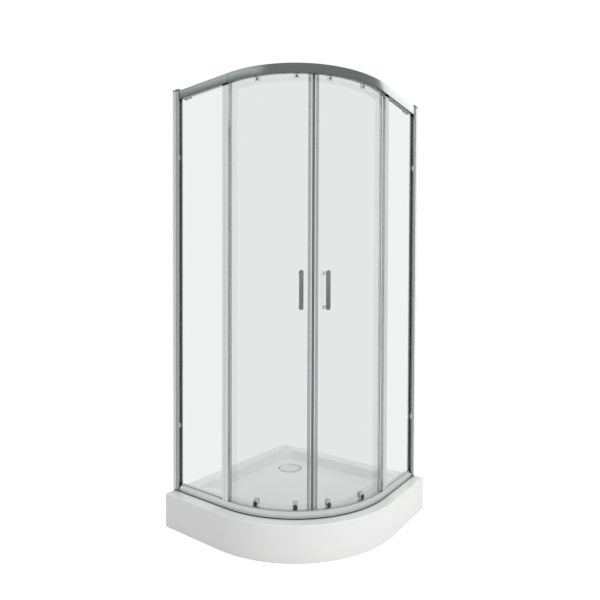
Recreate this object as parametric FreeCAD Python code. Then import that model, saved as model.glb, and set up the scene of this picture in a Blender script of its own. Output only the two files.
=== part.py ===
import FreeCAD, Part
import math
import os

# Quadrant shower enclosure on its own tray, in millimetres.
# +Z is up. The origin is on the floor under the middle of the square that the tray fills.
# The room's walls are the planes X = -tray_side / 2 and Y = +tray_side / 2.
# The curved front faces +X and -Y. Left and right mirror each other in the plane through
# the back corner and the middle of the curve, so right-hand pieces are mirrored left ones.
# "Depth" is measured inwards from the outer face of the rails.

# ---- tray -------------------------------------------------------------------------------
tray_side = 900.0
tray_front_radius = 550.0
tray_height = 155.0
tray_wall = 5.0
tray_edge_radius = 7.0
tray_back_corner_radius = 50.0
tray_side_corner_radius = 8.0
tray_skirt_drop = 35.0          # height of the short skirt along the two room walls
basin_depth = 45.0
basin_wall_inset = 68.0         # room wall to the basin's rim
basin_front_inset = 105.0       # tray front to the basin's rim
floor_wall_inset = 94.0         # room wall to the flat of the basin floor
floor_front_inset = 235.0       # tray front to the flat of the basin floor
basin_back_corner_radius = 60.0
basin_side_corner_radius = 45.0
basin_floor_blend = 8.0
basin_rim_blend = 5.0

# ---- waste ------------------------------------------------------------------------------
drain_wall_distance = 205.0     # from each room wall to the drain's centre
drain_hole_radius = 46.0
drain_seat_width = 18.0
drain_seat_depth = 4.0
drain_boss_width = 11.0         # flat left round the seat
drain_boss_depth = 6.0
waste_clearance = 0.3
waste_flange_height = 3.5
waste_neck_wall = 3.7
waste_neck_length = 22.0
waste_ledge_width = 4.0
waste_ledge_height = 3.0
waste_ledge_drop = 8.0          # below the underside of the flange
waste_gasket_width = 16.0
waste_gasket_height = 2.0
trap_rim_width = 7.0            # how far the trap's rim stands out from its body
trap_wall = 3.0
trap_height = 72.0
trap_flange_height = 3.0
outlet_radius = 20.0
outlet_wall = 2.5
outlet_reach = 170.0            # drain centre to the open end of the outlet
outlet_spigot_length = 50.0     # plain end that a pipe socket slides over
outlet_shoulder_radius = 23.0
outlet_height = 28.0            # trap floor to the outlet's axis
dip_tube_clearance = 6.0        # round the tube, inside the flange's ledge
dip_tube_wall = 2.0
dip_tube_length = 60.0
cover_edge_gap = 4.0            # cover to the edge of its seat
cover_thickness = 3.2
cover_edge_radius = 1.4
cover_skirt_clearance = 1.0     # skirt inside the flange's ledge
cover_skirt_wall = 2.0
cover_skirt_depth = 7.0
cover_lift_clearance = 0.3

# ---- support board and feet ---------------------------------------------------------------
board_thickness = 12.0
board_wall_inset = 100.0
board_front_inset = 240.0
board_corner_radius = 30.0
board_hole_clearance = 9.0      # round the boss of the drain
foot_hole_clearance = 3.0       # back foot's flange to the board's waste hole
foot_edge_inset = 38.0          # board's wall edge to the side feet
foot_end_inset = 80.0           # board's front end to the side feet
foot_front_inset = 70.0         # board's curved edge to the front foot
foot_middle_share = 0.43        # share of the way from the drain to the front foot
foot_pad_radius = 25.0
foot_pad_height = 8.0
foot_pad_edge = 2.0
foot_stud_radius = 5.0
foot_stud_engagement = 25.0
foot_socket_flange_radius = 22.0
foot_socket_flange_height = 3.0
foot_socket_boss_radius = 12.0
foot_socket_boss_height = 30.0
foot_nut_across_flats = 17.0
foot_nut_height = 8.0

# ---- enclosure: overall -------------------------------------------------------------------
enclosure_height = 1865.0       # tray rim to the top of the top rail
rail_inset = 50.0               # tray front to the rails' outer face
base_seal_height = 5.0
base_seal_setback = 1.0
base_seal_width = 31.0

# ---- top rail -----------------------------------------------------------------------------
top_rail_height = 40.0
top_rail_depth = 53.0
rail_skin = 2.0
rail_leg = 1.5
top_leg_drop = 28.0             # how far the slot's legs hang below the rail's top skin
track_ledge_end = 34.0          # depth at which the running ledges end
inner_leg_drop = 15.5

# ---- bottom rail --------------------------------------------------------------------------
bottom_lip_height = 13.0
bottom_crest_height = 25.0
bottom_groove_depth = 3.0
lip_underside_drop = 0.5

# ---- fixed panels -------------------------------------------------------------------------
glass_thickness = 5.0
fixed_glass_start = 12.0        # depth of the fixed glass's outer face
gasket_web = 2.0
gasket_show = 1.0               # top seal below the glazing slot
gasket_rise = 3.0               # bottom seal above the rail's crest
channel_wall = 1.5
channel_visible = 19.0          # room wall to the channel's open edge
channel_fit = 0.3
channel_hole_radius = 2.5
channel_hole_lowest = 150.0       # above the tray rim
channel_hole_spacing = 510.0
channel_hole_count = 4
post_length = 26.0
post_depth = 26.0
post_overlap = 6.0              # how far the post stands inside the channel
post_wall = 1.6
post_slot_depth = 11.0
post_seal_side = 2.5            # seal beside the glass in the post
post_rise = 2.5                 # post top above the top rail
post_cap_height = 5.0
post_cap_overhang = 0.7
adjusting_screw_heights = (310.0, 1558.0)    # above the tray rim
adjusting_cap_width = 7.6
adjusting_cap_length = 24.0
adjusting_cap_thickness = 2.2
adjusting_screw_radius = 2.0
adjusting_screw_length = 8.0
jamb_skin = 4.0                 # jamb in front of and behind the glass
jamb_length = 35.0
jamb_setback = 2.0              # jamb's free edge to the start of the curve
jamb_glass_bite = 16.0
jamb_wall = 2.0

# ---- rail ends ----------------------------------------------------------------------------
rail_end_gap = 6.0              # post to rail end
bracket_setback = 3.0
bracket_tongue_length = 30.0
bracket_fit = 0.2
frame_screw_radius = 1.8
frame_screw_head_radius = 3.6
frame_screw_head_height = 1.8
frame_screw_length = 9.0
frame_screw_reach = 15.0        # rail end to the screw
stop_length = 14.0
stop_height = 12.0
stop_gap = 1.0

# ---- doors --------------------------------------------------------------------------------
door_middle_angle = -45.0
door_rear_angle = -93.5
door_glass_start = 39.0         # depth of the door glass's outer face
door_top_above_ledge = 7.0
door_bottom_above_rim = 10.0
door_half_gap = 0.15
magnet_width = 5.0
magnet_skin = 1.5               # magnet strip in front of and behind the glass
closing_profile_width = 17.0
closing_profile_skin = 3.0
closing_profile_bite = 12.0
rear_profile_width = 14.0
rear_profile_skin = 2.0
rear_profile_bite = 8.0
rear_fin_thickness = 1.4
rear_fin_gap = 0.7
door_pivot = (-119.7, 141.9)    # centre of the left door's travel
door_travel = 25.0              # degrees about that centre

# ---- rollers ------------------------------------------------------------------------------
roller_offsets = (8.8, 30.0)    # degrees from the middle of the front: leading and trailing
wheel_radius = 9.0
wheel_start = 27.0
wheel_width = 4.5
wheel_bore_clearance = 0.05
wheel_running_gap = 0.3
wheel_side_gap = 0.5
wheel_edge = 0.5
axle_radius = 2.5
axle_clip_radius = 4.0
axle_clip_thickness = 0.8
axle_clip_gap = 0.2
hanger_half_width = 12.0
hanger_block_behind_glass = 0.7
hanger_glass_gap = 0.6
hanger_block_height = 11.5
hanger_plate = 2.5
hanger_plate_below_ledge = 14.0
hanger_plate_above_ledge = 11.0
top_pin_drop = 6.0              # clamp pin below the ledge's underside
clamp_pin_radius = 3.0
clamp_hole_clearance = 0.3
clamp_cap_radius = 4.5
clamp_cap_height = 3.5
clamp_cap_edge = 0.8
guide_half_width = 11.0
guide_base_gap = 2.0            # bottom rail crest to the guide block
guide_pin_cover = 5.0           # guide above its clamp pin's axis
guide_cap_radius = 4.0
guide_cap_gap = 0.7             # wheel to the clamp pin's cap
guide_cap_height = 1.8
guide_housing_depth = 8.0
button_rise = 11.0              # above the bottom rail's crest
button_radius = 5.5
button_clearance = 0.1
button_pocket = 6.0
button_proud = 2.5
button_travel = 3.0
button_end_room = 0.4           # left at the pocket's end when fully pressed
button_edge = 0.8

# ---- handles ------------------------------------------------------------------------------
handle_offset = 6.4             # degrees from the middle of the front
handle_height = 945.0           # middle of the handle above the tray rim
handle_length = 164.0
handle_width = 18.0
handle_thickness = 8.0
handle_standoff = 40.0
handle_edge = 2.0
handle_post_radius = 6.0
handle_rose_radius = 9.0
handle_rose_height = 2.5
handle_bolt_radius = 3.0
handle_cap_height = 4.0

# ---- values that follow from the ones above -------------------------------------------------
half_side = tray_side / 2.0
centre_x = half_side - tray_front_radius
centre_y = tray_front_radius - half_side
face_y = rail_inset - half_side
face_radius = tray_front_radius - rail_inset
rail_base = tray_height + base_seal_height
rail_top = tray_height + enclosure_height
top_rail_bottom = rail_top - top_rail_height
top_skin_bottom = rail_top - rail_skin
leg_bottom = top_skin_bottom - top_leg_drop
ledge_top = leg_bottom + rail_skin
crest_top = rail_base + bottom_crest_height
glazing_slot_start = fixed_glass_start - gasket_web
glazing_slot_end = fixed_glass_start + glass_thickness + gasket_web
fixed_glass_end = fixed_glass_start + glass_thickness
basin_floor = tray_height - basin_depth
tray_underside = basin_floor - tray_wall
drain_x = drain_wall_distance - half_side
drain_y = half_side - drain_wall_distance
drain_seat_radius = drain_hole_radius + drain_seat_width
drain_boss_radius = drain_seat_radius + drain_boss_width
waste_gasket_radius = drain_hole_radius + waste_gasket_width
trap_radius = waste_gasket_radius - trap_rim_width
waste_neck_outer = drain_hole_radius - waste_clearance
waste_neck_inner = waste_neck_outer - waste_neck_wall
waste_ledge_inner = waste_neck_inner - waste_ledge_width
dip_tube_radius = waste_ledge_inner - dip_tube_clearance
cover_radius = drain_seat_radius - cover_edge_gap
cover_skirt_radius = waste_ledge_inner - cover_skirt_clearance
board_waste_hole_radius = drain_boss_radius + board_hole_clearance
foot_back_reach = board_waste_hole_radius + foot_hole_clearance + foot_socket_flange_radius
foot_back_x = drain_x - foot_back_reach * math.sqrt(0.5)
foot_side_x = board_wall_inset + foot_edge_inset - half_side
foot_side_y = board_front_inset + foot_end_inset - half_side
foot_front_radius = tray_front_radius - board_front_inset - foot_front_inset
foot_front_x = centre_x + foot_front_radius * math.sqrt(0.5)
foot_middle_x = drain_x + foot_middle_share * (foot_front_x - drain_x)
foot_places = (
    (foot_back_x, -foot_back_x),
    (foot_side_x, foot_side_y),
    (-foot_side_y, -foot_side_x),
    (foot_front_x, -foot_front_x),
    (foot_middle_x, -foot_middle_x),
)
channel_open_x = channel_visible - half_side
post_back_x = channel_open_x - post_overlap
post_front_x = post_back_x + post_length
post_top = rail_top + post_rise
rail_end_x = post_front_x + rail_end_gap
post_slot_start = fixed_glass_start - post_seal_side
post_slot_end = fixed_glass_end + post_seal_side
jamb_start = fixed_glass_start - jamb_skin
jamb_depth = glass_thickness + 2 * jamb_skin
jamb_front_x = centre_x - jamb_setback
jamb_back_x = jamb_front_x - jamb_length
door_outer_radius = face_radius - door_glass_start
door_inner_radius = door_outer_radius - glass_thickness
door_top = ledge_top + door_top_above_ledge - rail_skin
door_bottom = tray_height + door_bottom_above_rim
closing_profile_start = door_glass_start - closing_profile_skin
closing_profile_depth = glass_thickness + 2 * closing_profile_skin
magnet_start = door_glass_start - magnet_skin
magnet_depth = glass_thickness + 2 * magnet_skin
rear_profile_start = door_glass_start - rear_profile_skin
rear_profile_depth = glass_thickness + 2 * rear_profile_skin
carrier_start = wheel_start + wheel_width + wheel_side_gap
guide_pin_rise = wheel_running_gap + 2 * wheel_radius + guide_cap_gap + guide_cap_radius
guide_height = guide_pin_rise + guide_pin_cover
wheel_outer_face = face_radius - wheel_start
wheel_inner_face = wheel_outer_face - wheel_width
top_wheel_z = ledge_top + wheel_running_gap + wheel_radius
bottom_wheel_z = crest_top + wheel_running_gap + wheel_radius
handle_z = tray_height + handle_height
OVERSHOOT = 1.0                 # how far a cutting solid passes the face it cuts


def vec(x, y, z):
    return FreeCAD.Vector(x, y, z)


def mirrored(shape):
    """The right-hand twin of a left-hand shape: (x, y) becomes (-y, -x)."""
    return shape.mirror(vec(0, 0, 0), vec(1, 1, 0))


def both_sides(shapes):
    return shapes + [mirrored(shape) for shape in shapes]


def save(name, shapes):
    """Write one node; like pieces share a node as separate solids."""
    solids = []
    for shape in shapes:
        solids.extend(shape.Solids)
    node = solids[0] if len(solids) == 1 else Part.makeCompound(solids)
    node.exportStep("parts/" + name + ".step")


def box(x_from, x_to, y_from, y_to, z_from, z_to):
    return Part.makeBox(x_to - x_from, y_to - y_from, z_to - z_from, vec(x_from, y_from, z_from))


def upright(radius, x, y, z_from, z_to):
    return Part.makeCylinder(radius, z_to - z_from, vec(x, y, z_from))


def ring(outer, inner, x, y, z_from, z_to):
    hole = upright(inner, x, y, z_from - OVERSHOOT, z_to + OVERSHOOT)
    return upright(outer, x, y, z_from, z_to).cut(hole)


def on_curve(radius, angle, z=0.0):
    """A point at this radius and angle about the centre of the curved front."""
    turn = math.radians(angle)
    return vec(centre_x + radius * math.cos(turn), centre_y + radius * math.sin(turn), z)


def arc_degrees(length, radius):
    return math.degrees(length / radius)


def sector(r_inner, r_outer, angle_from, angle_to, z_from, z_to):
    """A curved block between two radii and two angles about the front's centre."""
    angle_mid = (angle_from + angle_to) / 2.0
    outer = Part.Arc(on_curve(r_outer, angle_from, z_from), on_curve(r_outer, angle_mid, z_from),
                     on_curve(r_outer, angle_to, z_from)).toShape()
    inner = Part.Arc(on_curve(r_inner, angle_to, z_from), on_curve(r_inner, angle_mid, z_from),
                     on_curve(r_inner, angle_from, z_from)).toShape()
    side_to = Part.makeLine(on_curve(r_outer, angle_to, z_from), on_curve(r_inner, angle_to, z_from))
    side_from = Part.makeLine(on_curve(r_inner, angle_from, z_from), on_curve(r_outer, angle_from, z_from))
    face = Part.Face(Part.Wire([outer, side_to, inner, side_from]))
    return face.extrude(vec(0, 0, z_to - z_from))


def pad(r_inner, r_outer, angle, half_width, z_from, z_to):
    """A sector centred on an angle, its width measured along the door glass."""
    half_angle = arc_degrees(half_width, door_outer_radius)
    return sector(r_inner, r_outer, angle - half_angle, angle + half_angle, z_from, z_to)


def radial_rod(radius, r_from, r_to, angle, z):
    turn = math.radians(angle)
    outwards = vec(math.cos(turn), math.sin(turn), 0)
    return Part.makeCylinder(radius, r_to - r_from, on_curve(r_from, angle, z), outwards)


def edges_at(shape, z, tolerance=0.01):
    """The edges of a shape that lie level at one height."""
    found = []
    for edge in shape.Edges:
        bounds = edge.BoundBox
        if abs(bounds.ZMin - z) < tolerance and abs(bounds.ZMax - z) < tolerance:
            found.append(edge)
    return found


def round_ends(rod, radius, r_at, angle):
    """Blend the rim of a radial rod at the radius where its end lies."""
    end = on_curve(r_at, angle)
    rims = [edge for edge in rod.Edges if edge.Closed and len(edge.Vertexes) == 1
            and math.hypot(edge.CenterOfMass.x - end.x, edge.CenterOfMass.y - end.y) < 0.01]
    return rod.makeFillet(radius, rims)


# ---- tray ---------------------------------------------------------------------------------
def tray_outline(wall_inset, front_inset, back_radius, side_radius, z):
    """The quadrant plan, drawn in by an inset from the room walls and one from the front."""
    left = wall_inset - half_side
    back = half_side - wall_inset
    right = half_side - front_inset
    front = front_inset - half_side
    slant = math.sqrt(0.5)

    def corner(x, y, x_in, y_in, radius):
        mid_x = x + x_in * radius * (1.0 - slant)
        mid_y = y + y_in * radius * (1.0 - slant)
        return vec(x, y + y_in * radius, z), vec(mid_x, mid_y, z), vec(x + x_in * radius, y, z)

    back_a, back_m, back_b = corner(left, back, 1, -1, back_radius)
    right_b, right_m, right_a = corner(right, back, -1, -1, side_radius)
    left_a, left_m, left_b = corner(left, front, 1, 1, side_radius)
    curve_start = vec(right, centre_y, z)
    curve_end = vec(centre_x, front, z)
    curve_mid = on_curve(right - centre_x, door_middle_angle, z)
    return Part.Wire([
        Part.Arc(back_a, back_m, back_b).toShape(),
        Part.makeLine(back_b, right_a),
        Part.Arc(right_a, right_m, right_b).toShape(),
        Part.makeLine(right_b, curve_start),
        Part.Arc(curve_start, curve_mid, curve_end).toShape(),
        Part.makeLine(curve_end, left_b),
        Part.Arc(left_b, left_m, left_a).toShape(),
        Part.makeLine(left_a, back_a),
    ])


def prism(wire, height):
    return Part.Face(wire).extrude(vec(0, 0, height))


def basin_bowl(growth):
    """The basin's hollow; growth thickens it into the outside of the moulded bowl."""
    rim = tray_outline(basin_wall_inset - growth, basin_front_inset - growth,
                       basin_back_corner_radius + growth, basin_side_corner_radius + growth,
                       tray_height)
    floor = tray_outline(floor_wall_inset - growth, floor_front_inset - growth,
                         basin_back_corner_radius + growth, basin_side_corner_radius + growth,
                         basin_floor - growth)
    bowl = Part.makeLoft([floor, rim], True, True)
    return bowl.makeFillet(basin_floor_blend, edges_at(bowl, basin_floor - growth))


def make_tray():
    block = prism(tray_outline(0, 0, tray_back_corner_radius, tray_side_corner_radius, 0), tray_height)
    block = block.makeFillet(tray_edge_radius, edges_at(block, tray_height))
    hollow = prism(tray_outline(tray_wall, tray_wall, tray_back_corner_radius,
                                tray_side_corner_radius, -OVERSHOOT),
                   tray_height - tray_wall + OVERSHOOT)
    skirt_z = tray_height - tray_skirt_drop
    inner = half_side - tray_wall
    wall_gap_left = box(-half_side - OVERSHOOT, -inner, -inner, half_side + OVERSHOOT,
                        -OVERSHOOT, skirt_z)
    wall_gap_back = box(-half_side - OVERSHOOT, inner, inner, half_side + OVERSHOOT,
                        -OVERSHOOT, skirt_z)
    corner_span = tray_back_corner_radius + tray_wall
    corner_gap = box(-half_side - OVERSHOOT, corner_span - half_side,
                     half_side - corner_span, half_side + OVERSHOOT, -OVERSHOOT, skirt_z)
    shell = block.cut([hollow, wall_gap_left, wall_gap_back, corner_gap])
    boss = upright(drain_boss_radius, drain_x, drain_y, tray_underside - drain_boss_depth, basin_floor)
    shell = shell.fuse([basin_bowl(tray_wall), boss])
    seat = upright(drain_seat_radius, drain_x, drain_y, basin_floor - drain_seat_depth, tray_height)
    hole = upright(drain_hole_radius, drain_x, drain_y,
                   tray_underside - drain_boss_depth - OVERSHOOT, tray_height)
    shell = shell.cut([basin_bowl(0.0), seat, hole]).removeSplitter()
    rim_edges = [edge for edge in edges_at(shell, tray_height)
                 if edge.CenterOfMass.x > basin_wall_inset - half_side - OVERSHOOT
                 and edge.CenterOfMass.y < half_side - basin_wall_inset + OVERSHOOT
                 and math.hypot(max(edge.CenterOfMass.x - centre_x, 0.0),
                                min(edge.CenterOfMass.y - centre_y, 0.0))
                 < tray_front_radius - basin_front_inset + OVERSHOOT]
    return shell.makeFillet(basin_rim_blend, rim_edges)


def make_board():
    plate = prism(tray_outline(board_wall_inset, board_front_inset, board_corner_radius,
                               board_corner_radius, tray_underside - board_thickness),
                  board_thickness)
    hole = upright(board_waste_hole_radius, drain_x, drain_y, 0, tray_height)
    return plate.cut(hole)


def make_feet():
    """Threaded sockets under the board, each with its stud, locknut and floor pad."""
    board_bottom = tray_underside - board_thickness
    boss_top = board_bottom - foot_socket_flange_height
    boss_bottom = boss_top - foot_socket_boss_height
    stud_top = boss_bottom + foot_stud_engagement
    sockets, studs, nuts, pads = [], [], [], []
    for x, y in foot_places:
        flange = upright(foot_socket_flange_radius, x, y, boss_top, board_bottom)
        boss = upright(foot_socket_boss_radius, x, y, boss_bottom, boss_top)
        bore = upright(foot_stud_radius, x, y, boss_bottom - OVERSHOOT, stud_top)
        sockets.append(flange.fuse(boss).cut(bore))
        studs.append(upright(foot_stud_radius, x, y, foot_pad_height, stud_top))
        corner_radius = foot_nut_across_flats / math.sqrt(3.0)
        corners = [vec(x + corner_radius * math.cos(math.radians(60 * k)),
                       y + corner_radius * math.sin(math.radians(60 * k)),
                       boss_bottom - foot_nut_height) for k in range(6)]
        nut = prism(Part.makePolygon(corners + corners[:1]), foot_nut_height)
        nuts.append(nut.cut(upright(foot_stud_radius, x, y, 0, tray_height)))
        disc = upright(foot_pad_radius, x, y, 0, foot_pad_height)
        pads.append(disc.makeChamfer(foot_pad_edge, edges_at(disc, foot_pad_height)))
    return sockets, studs, nuts, pads


# ---- waste --------------------------------------------------------------------------------
def make_waste():
    """Flange, gasket, trap, dip tube and lift-off cover, from the basin floor downwards."""
    seat_z = basin_floor - drain_seat_depth
    boss_bottom = tray_underside - drain_boss_depth
    neck_bottom = seat_z - waste_neck_length
    ledge_top_z = seat_z - waste_ledge_drop
    flange = ring(drain_seat_radius - waste_clearance, waste_neck_inner, drain_x, drain_y,
                  seat_z, seat_z + waste_flange_height)
    neck = ring(waste_neck_outer, waste_neck_inner, drain_x, drain_y, neck_bottom, seat_z)
    ledge = ring(waste_neck_outer, waste_ledge_inner, drain_x, drain_y,
                 ledge_top_z - waste_ledge_height, ledge_top_z)
    flange = flange.fuse([neck, ledge]).removeSplitter()

    gasket_bottom = boss_bottom - waste_gasket_height
    gasket = ring(waste_gasket_radius, drain_hole_radius, drain_x, drain_y, gasket_bottom, boss_bottom)

    trap_top = gasket_bottom - trap_flange_height
    trap_floor = trap_top - trap_height
    rim = ring(waste_gasket_radius, drain_hole_radius, drain_x, drain_y, trap_top, gasket_bottom)
    outside = upright(trap_radius, drain_x, drain_y, trap_floor, trap_top)
    inside = upright(trap_radius - trap_wall, drain_x, drain_y, trap_floor + trap_wall,
                     trap_top + OVERSHOOT)
    axis_z = trap_floor + outlet_height
    towards_wall = vec(-1, 0, 0)
    pipe_start = vec(drain_x, drain_y, axis_z)
    pipe = Part.makeCylinder(outlet_radius, outlet_reach, pipe_start, towards_wall)
    shoulder = Part.makeCylinder(outlet_shoulder_radius, outlet_reach - outlet_spigot_length,
                                 pipe_start, towards_wall)
    bore = Part.makeCylinder(outlet_radius - outlet_wall, outlet_reach + OVERSHOOT,
                             pipe_start, towards_wall)
    trap = outside.fuse([rim, pipe, shoulder]).cut([inside, bore]).removeSplitter()

    lip_top = ledge_top_z + dip_tube_wall
    lip = ring(waste_neck_inner - waste_clearance, dip_tube_radius - dip_tube_wall, drain_x, drain_y,
               ledge_top_z, lip_top)
    tube = ring(dip_tube_radius, dip_tube_radius - dip_tube_wall, drain_x, drain_y,
                lip_top - dip_tube_length, ledge_top_z)
    dip_tube = lip.fuse(tube).removeSplitter()

    cover_bottom = seat_z + waste_flange_height + cover_lift_clearance
    disc = upright(cover_radius, drain_x, drain_y, cover_bottom, cover_bottom + cover_thickness)
    disc = disc.makeFillet(cover_edge_radius, edges_at(disc, cover_bottom + cover_thickness))
    skirt = ring(cover_skirt_radius, cover_skirt_radius - cover_skirt_wall, drain_x, drain_y,
                 cover_bottom - cover_skirt_depth, cover_bottom)
    cover = disc.fuse(skirt).removeSplitter()
    return flange, gasket, trap, dip_tube, cover


# ---- rails --------------------------------------------------------------------------------
def along_front(section, end_x):
    """Run a (depth, height) section from one end, round the curve, to the other end."""
    def outline(x):
        corners = [vec(x, face_y + depth, height) for depth, height in section]
        return Part.Face(Part.makePolygon(corners + corners[:1]))

    straight = outline(end_x).extrude(vec(centre_x - end_x, 0, 0))
    bend = outline(centre_x).revolve(vec(centre_x, centre_y, 0), vec(0, 0, 1), 90)
    return straight.fuse([bend, mirrored(straight)]).removeSplitter()


def make_base_seal():
    near = base_seal_setback
    far = base_seal_setback + base_seal_width
    section = [(near, tray_height), (near, rail_base), (far, rail_base), (far, tray_height)]
    return along_front(section, -half_side)


def make_top_rail():
    leg_a = glazing_slot_start - rail_leg
    leg_b = glazing_slot_end + rail_leg
    inner_leg = top_rail_depth - rail_skin
    inner_leg_bottom = top_skin_bottom - inner_leg_drop
    section = [
        (0, top_rail_bottom), (rail_skin, top_rail_bottom), (rail_skin, top_skin_bottom),
        (leg_a, top_skin_bottom), (leg_a, leg_bottom), (glazing_slot_start, leg_bottom),
        (glazing_slot_start, top_skin_bottom), (glazing_slot_end, top_skin_bottom),
        (glazing_slot_end, leg_bottom), (track_ledge_end, leg_bottom), (track_ledge_end, ledge_top),
        (leg_b, ledge_top), (leg_b, top_skin_bottom), (inner_leg, top_skin_bottom),
        (inner_leg, inner_leg_bottom), (top_rail_depth, inner_leg_bottom),
        (top_rail_depth, rail_top), (0, rail_top),
    ]
    return along_front(section, rail_end_x)


def make_bottom_rail():
    groove_floor = crest_top - bottom_groove_depth
    under_groove = groove_floor - rail_skin
    lip_top = rail_base + bottom_lip_height
    section = [
        (0, rail_base), (0, lip_top), (glazing_slot_start, crest_top),
        (glazing_slot_start, groove_floor), (glazing_slot_end, groove_floor),
        (glazing_slot_end, crest_top), (track_ledge_end, crest_top), (track_ledge_end, rail_base),
        (track_ledge_end - rail_skin, rail_base), (track_ledge_end - rail_skin, crest_top - rail_skin),
        (glazing_slot_end + rail_skin, crest_top - rail_skin), (glazing_slot_end + rail_skin, under_groove),
        (glazing_slot_start - rail_skin, under_groove), (rail_skin, lip_top - lip_underside_drop),
        (rail_skin, rail_base),
    ]
    return along_front(section, rail_end_x)


# ---- fixed panels ---------------------------------------------------------------------------
def make_channel():
    """The U-shaped wall channel, open towards the post, with holes for the wall fixings."""
    near = face_y - channel_fit - channel_wall
    far = face_y + post_depth + channel_fit + channel_wall
    outside = box(-half_side, channel_open_x, near, far, rail_base, post_top)
    inside = box(-half_side + channel_wall, channel_open_x + OVERSHOOT, near + channel_wall,
                 far - channel_wall, rail_base - OVERSHOOT, post_top + OVERSHOOT)
    channel = outside.cut(inside)
    for number in range(channel_hole_count):
        height = tray_height + channel_hole_lowest + number * channel_hole_spacing
        start = vec(-half_side - OVERSHOOT, face_y + post_depth / 2.0, height)
        channel = channel.cut(Part.makeCylinder(channel_hole_radius, channel_wall + 2 * OVERSHOOT,
                                                start, vec(1, 0, 0)))
    return channel


def make_post():
    """The hollow side post, with the slot that takes the fixed glass."""
    slot_back_x = post_front_x - post_slot_depth
    post = box(post_back_x, post_front_x, face_y, face_y + post_depth, rail_base, post_top)
    under = rail_base - OVERSHOOT
    over = post_top + OVERSHOOT
    slot = box(slot_back_x, post_front_x + OVERSHOOT, face_y + post_slot_start, face_y + post_slot_end,
               under, over)
    back_room = box(post_back_x + post_wall, slot_back_x - post_wall, face_y + post_wall,
                    face_y + post_depth - post_wall, under, over)
    outer_room = box(slot_back_x, post_front_x - post_wall, face_y + post_wall,
                     face_y + post_slot_start - post_wall, under, over)
    inner_room = box(slot_back_x, post_front_x - post_wall, face_y + post_slot_end + post_wall,
                     face_y + post_depth - post_wall, under, over)
    return post.cut([slot, back_room, outer_room, inner_room])


def make_post_cap():
    near = face_y - channel_fit - channel_wall - post_cap_overhang
    far = face_y + post_depth + channel_fit + channel_wall + post_cap_overhang
    return box(-half_side, post_front_x + post_cap_overhang, near, far,
               post_top, post_top + post_cap_height)


def make_adjusting_screws():
    """Screws through the post's outer edge, each under its small chrome cap."""
    screws = []
    y = face_y + post_slot_start / 2.0
    half_width = adjusting_cap_width / 2.0
    half_straight = adjusting_cap_length / 2.0 - half_width
    for height in adjusting_screw_heights:
        z = tray_height + height
        plate = box(post_front_x, post_front_x + adjusting_cap_thickness, y - half_width,
                    y + half_width, z - half_straight, z + half_straight)
        for end_z in (z - half_straight, z + half_straight):
            plate = plate.fuse(Part.makeCylinder(half_width, adjusting_cap_thickness,
                                                 vec(post_front_x, y, end_z), vec(1, 0, 0)))
        shank = Part.makeCylinder(adjusting_screw_radius, adjusting_screw_length,
                                  vec(post_front_x, y, z), vec(-1, 0, 0))
        screws.append(plate.fuse(shank).removeSplitter())
    return screws


def drill_post(post):
    y = face_y + post_slot_start / 2.0
    for height in adjusting_screw_heights:
        hole = Part.makeCylinder(adjusting_screw_radius, adjusting_screw_length,
                                 vec(post_front_x, y, tray_height + height), vec(-1, 0, 0))
        post = post.cut(hole)
    return post


def fixed_glass_limits():
    """Back and front edge in X, then bottom and top, of the left fixed pane."""
    back_x = post_front_x - post_slot_depth + gasket_web
    front_x = jamb_back_x + jamb_glass_bite
    bottom = crest_top - bottom_groove_depth + gasket_web
    top = top_skin_bottom - 2 * gasket_web
    return back_x, front_x, bottom, top


def make_fixed_glass():
    back_x, front_x, bottom, top = fixed_glass_limits()
    return box(back_x, front_x, face_y + fixed_glass_start, face_y + fixed_glass_end, bottom, top)


def make_gaskets():
    """Three U-shaped seals round the fixed pane: in the post, the top rail and the bottom rail."""
    back_x, front_x, bottom, top = fixed_glass_limits()
    glass = make_fixed_glass()
    in_post = box(post_front_x - post_slot_depth, post_front_x, face_y + post_slot_start,
                  face_y + post_slot_end, rail_base, post_top).cut(glass)
    in_top = box(rail_end_x, jamb_back_x, face_y + glazing_slot_start, face_y + glazing_slot_end,
                 leg_bottom - gasket_show, top + gasket_web).cut(glass)
    in_bottom = box(rail_end_x, jamb_back_x, face_y + glazing_slot_start, face_y + glazing_slot_end,
                    crest_top - bottom_groove_depth, crest_top + gasket_rise).cut(glass)
    return [in_post, in_top, in_bottom]


def make_jamb():
    """The profile on the free edge of the fixed pane, closed with a hollow nose."""
    back_x, front_x, bottom, top = fixed_glass_limits()
    near = face_y + jamb_start
    far = near + jamb_depth
    body = box(jamb_back_x, jamb_front_x, near, far, crest_top, leg_bottom)
    slot = box(jamb_back_x - OVERSHOOT, front_x, face_y + fixed_glass_start, face_y + fixed_glass_end,
               crest_top - OVERSHOOT, leg_bottom + OVERSHOOT)
    nose = box(front_x + jamb_wall, jamb_front_x - jamb_wall, near + jamb_wall, far - jamb_wall,
               crest_top - OVERSHOOT, leg_bottom + OVERSHOOT)
    return body.cut([slot, nose])


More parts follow.
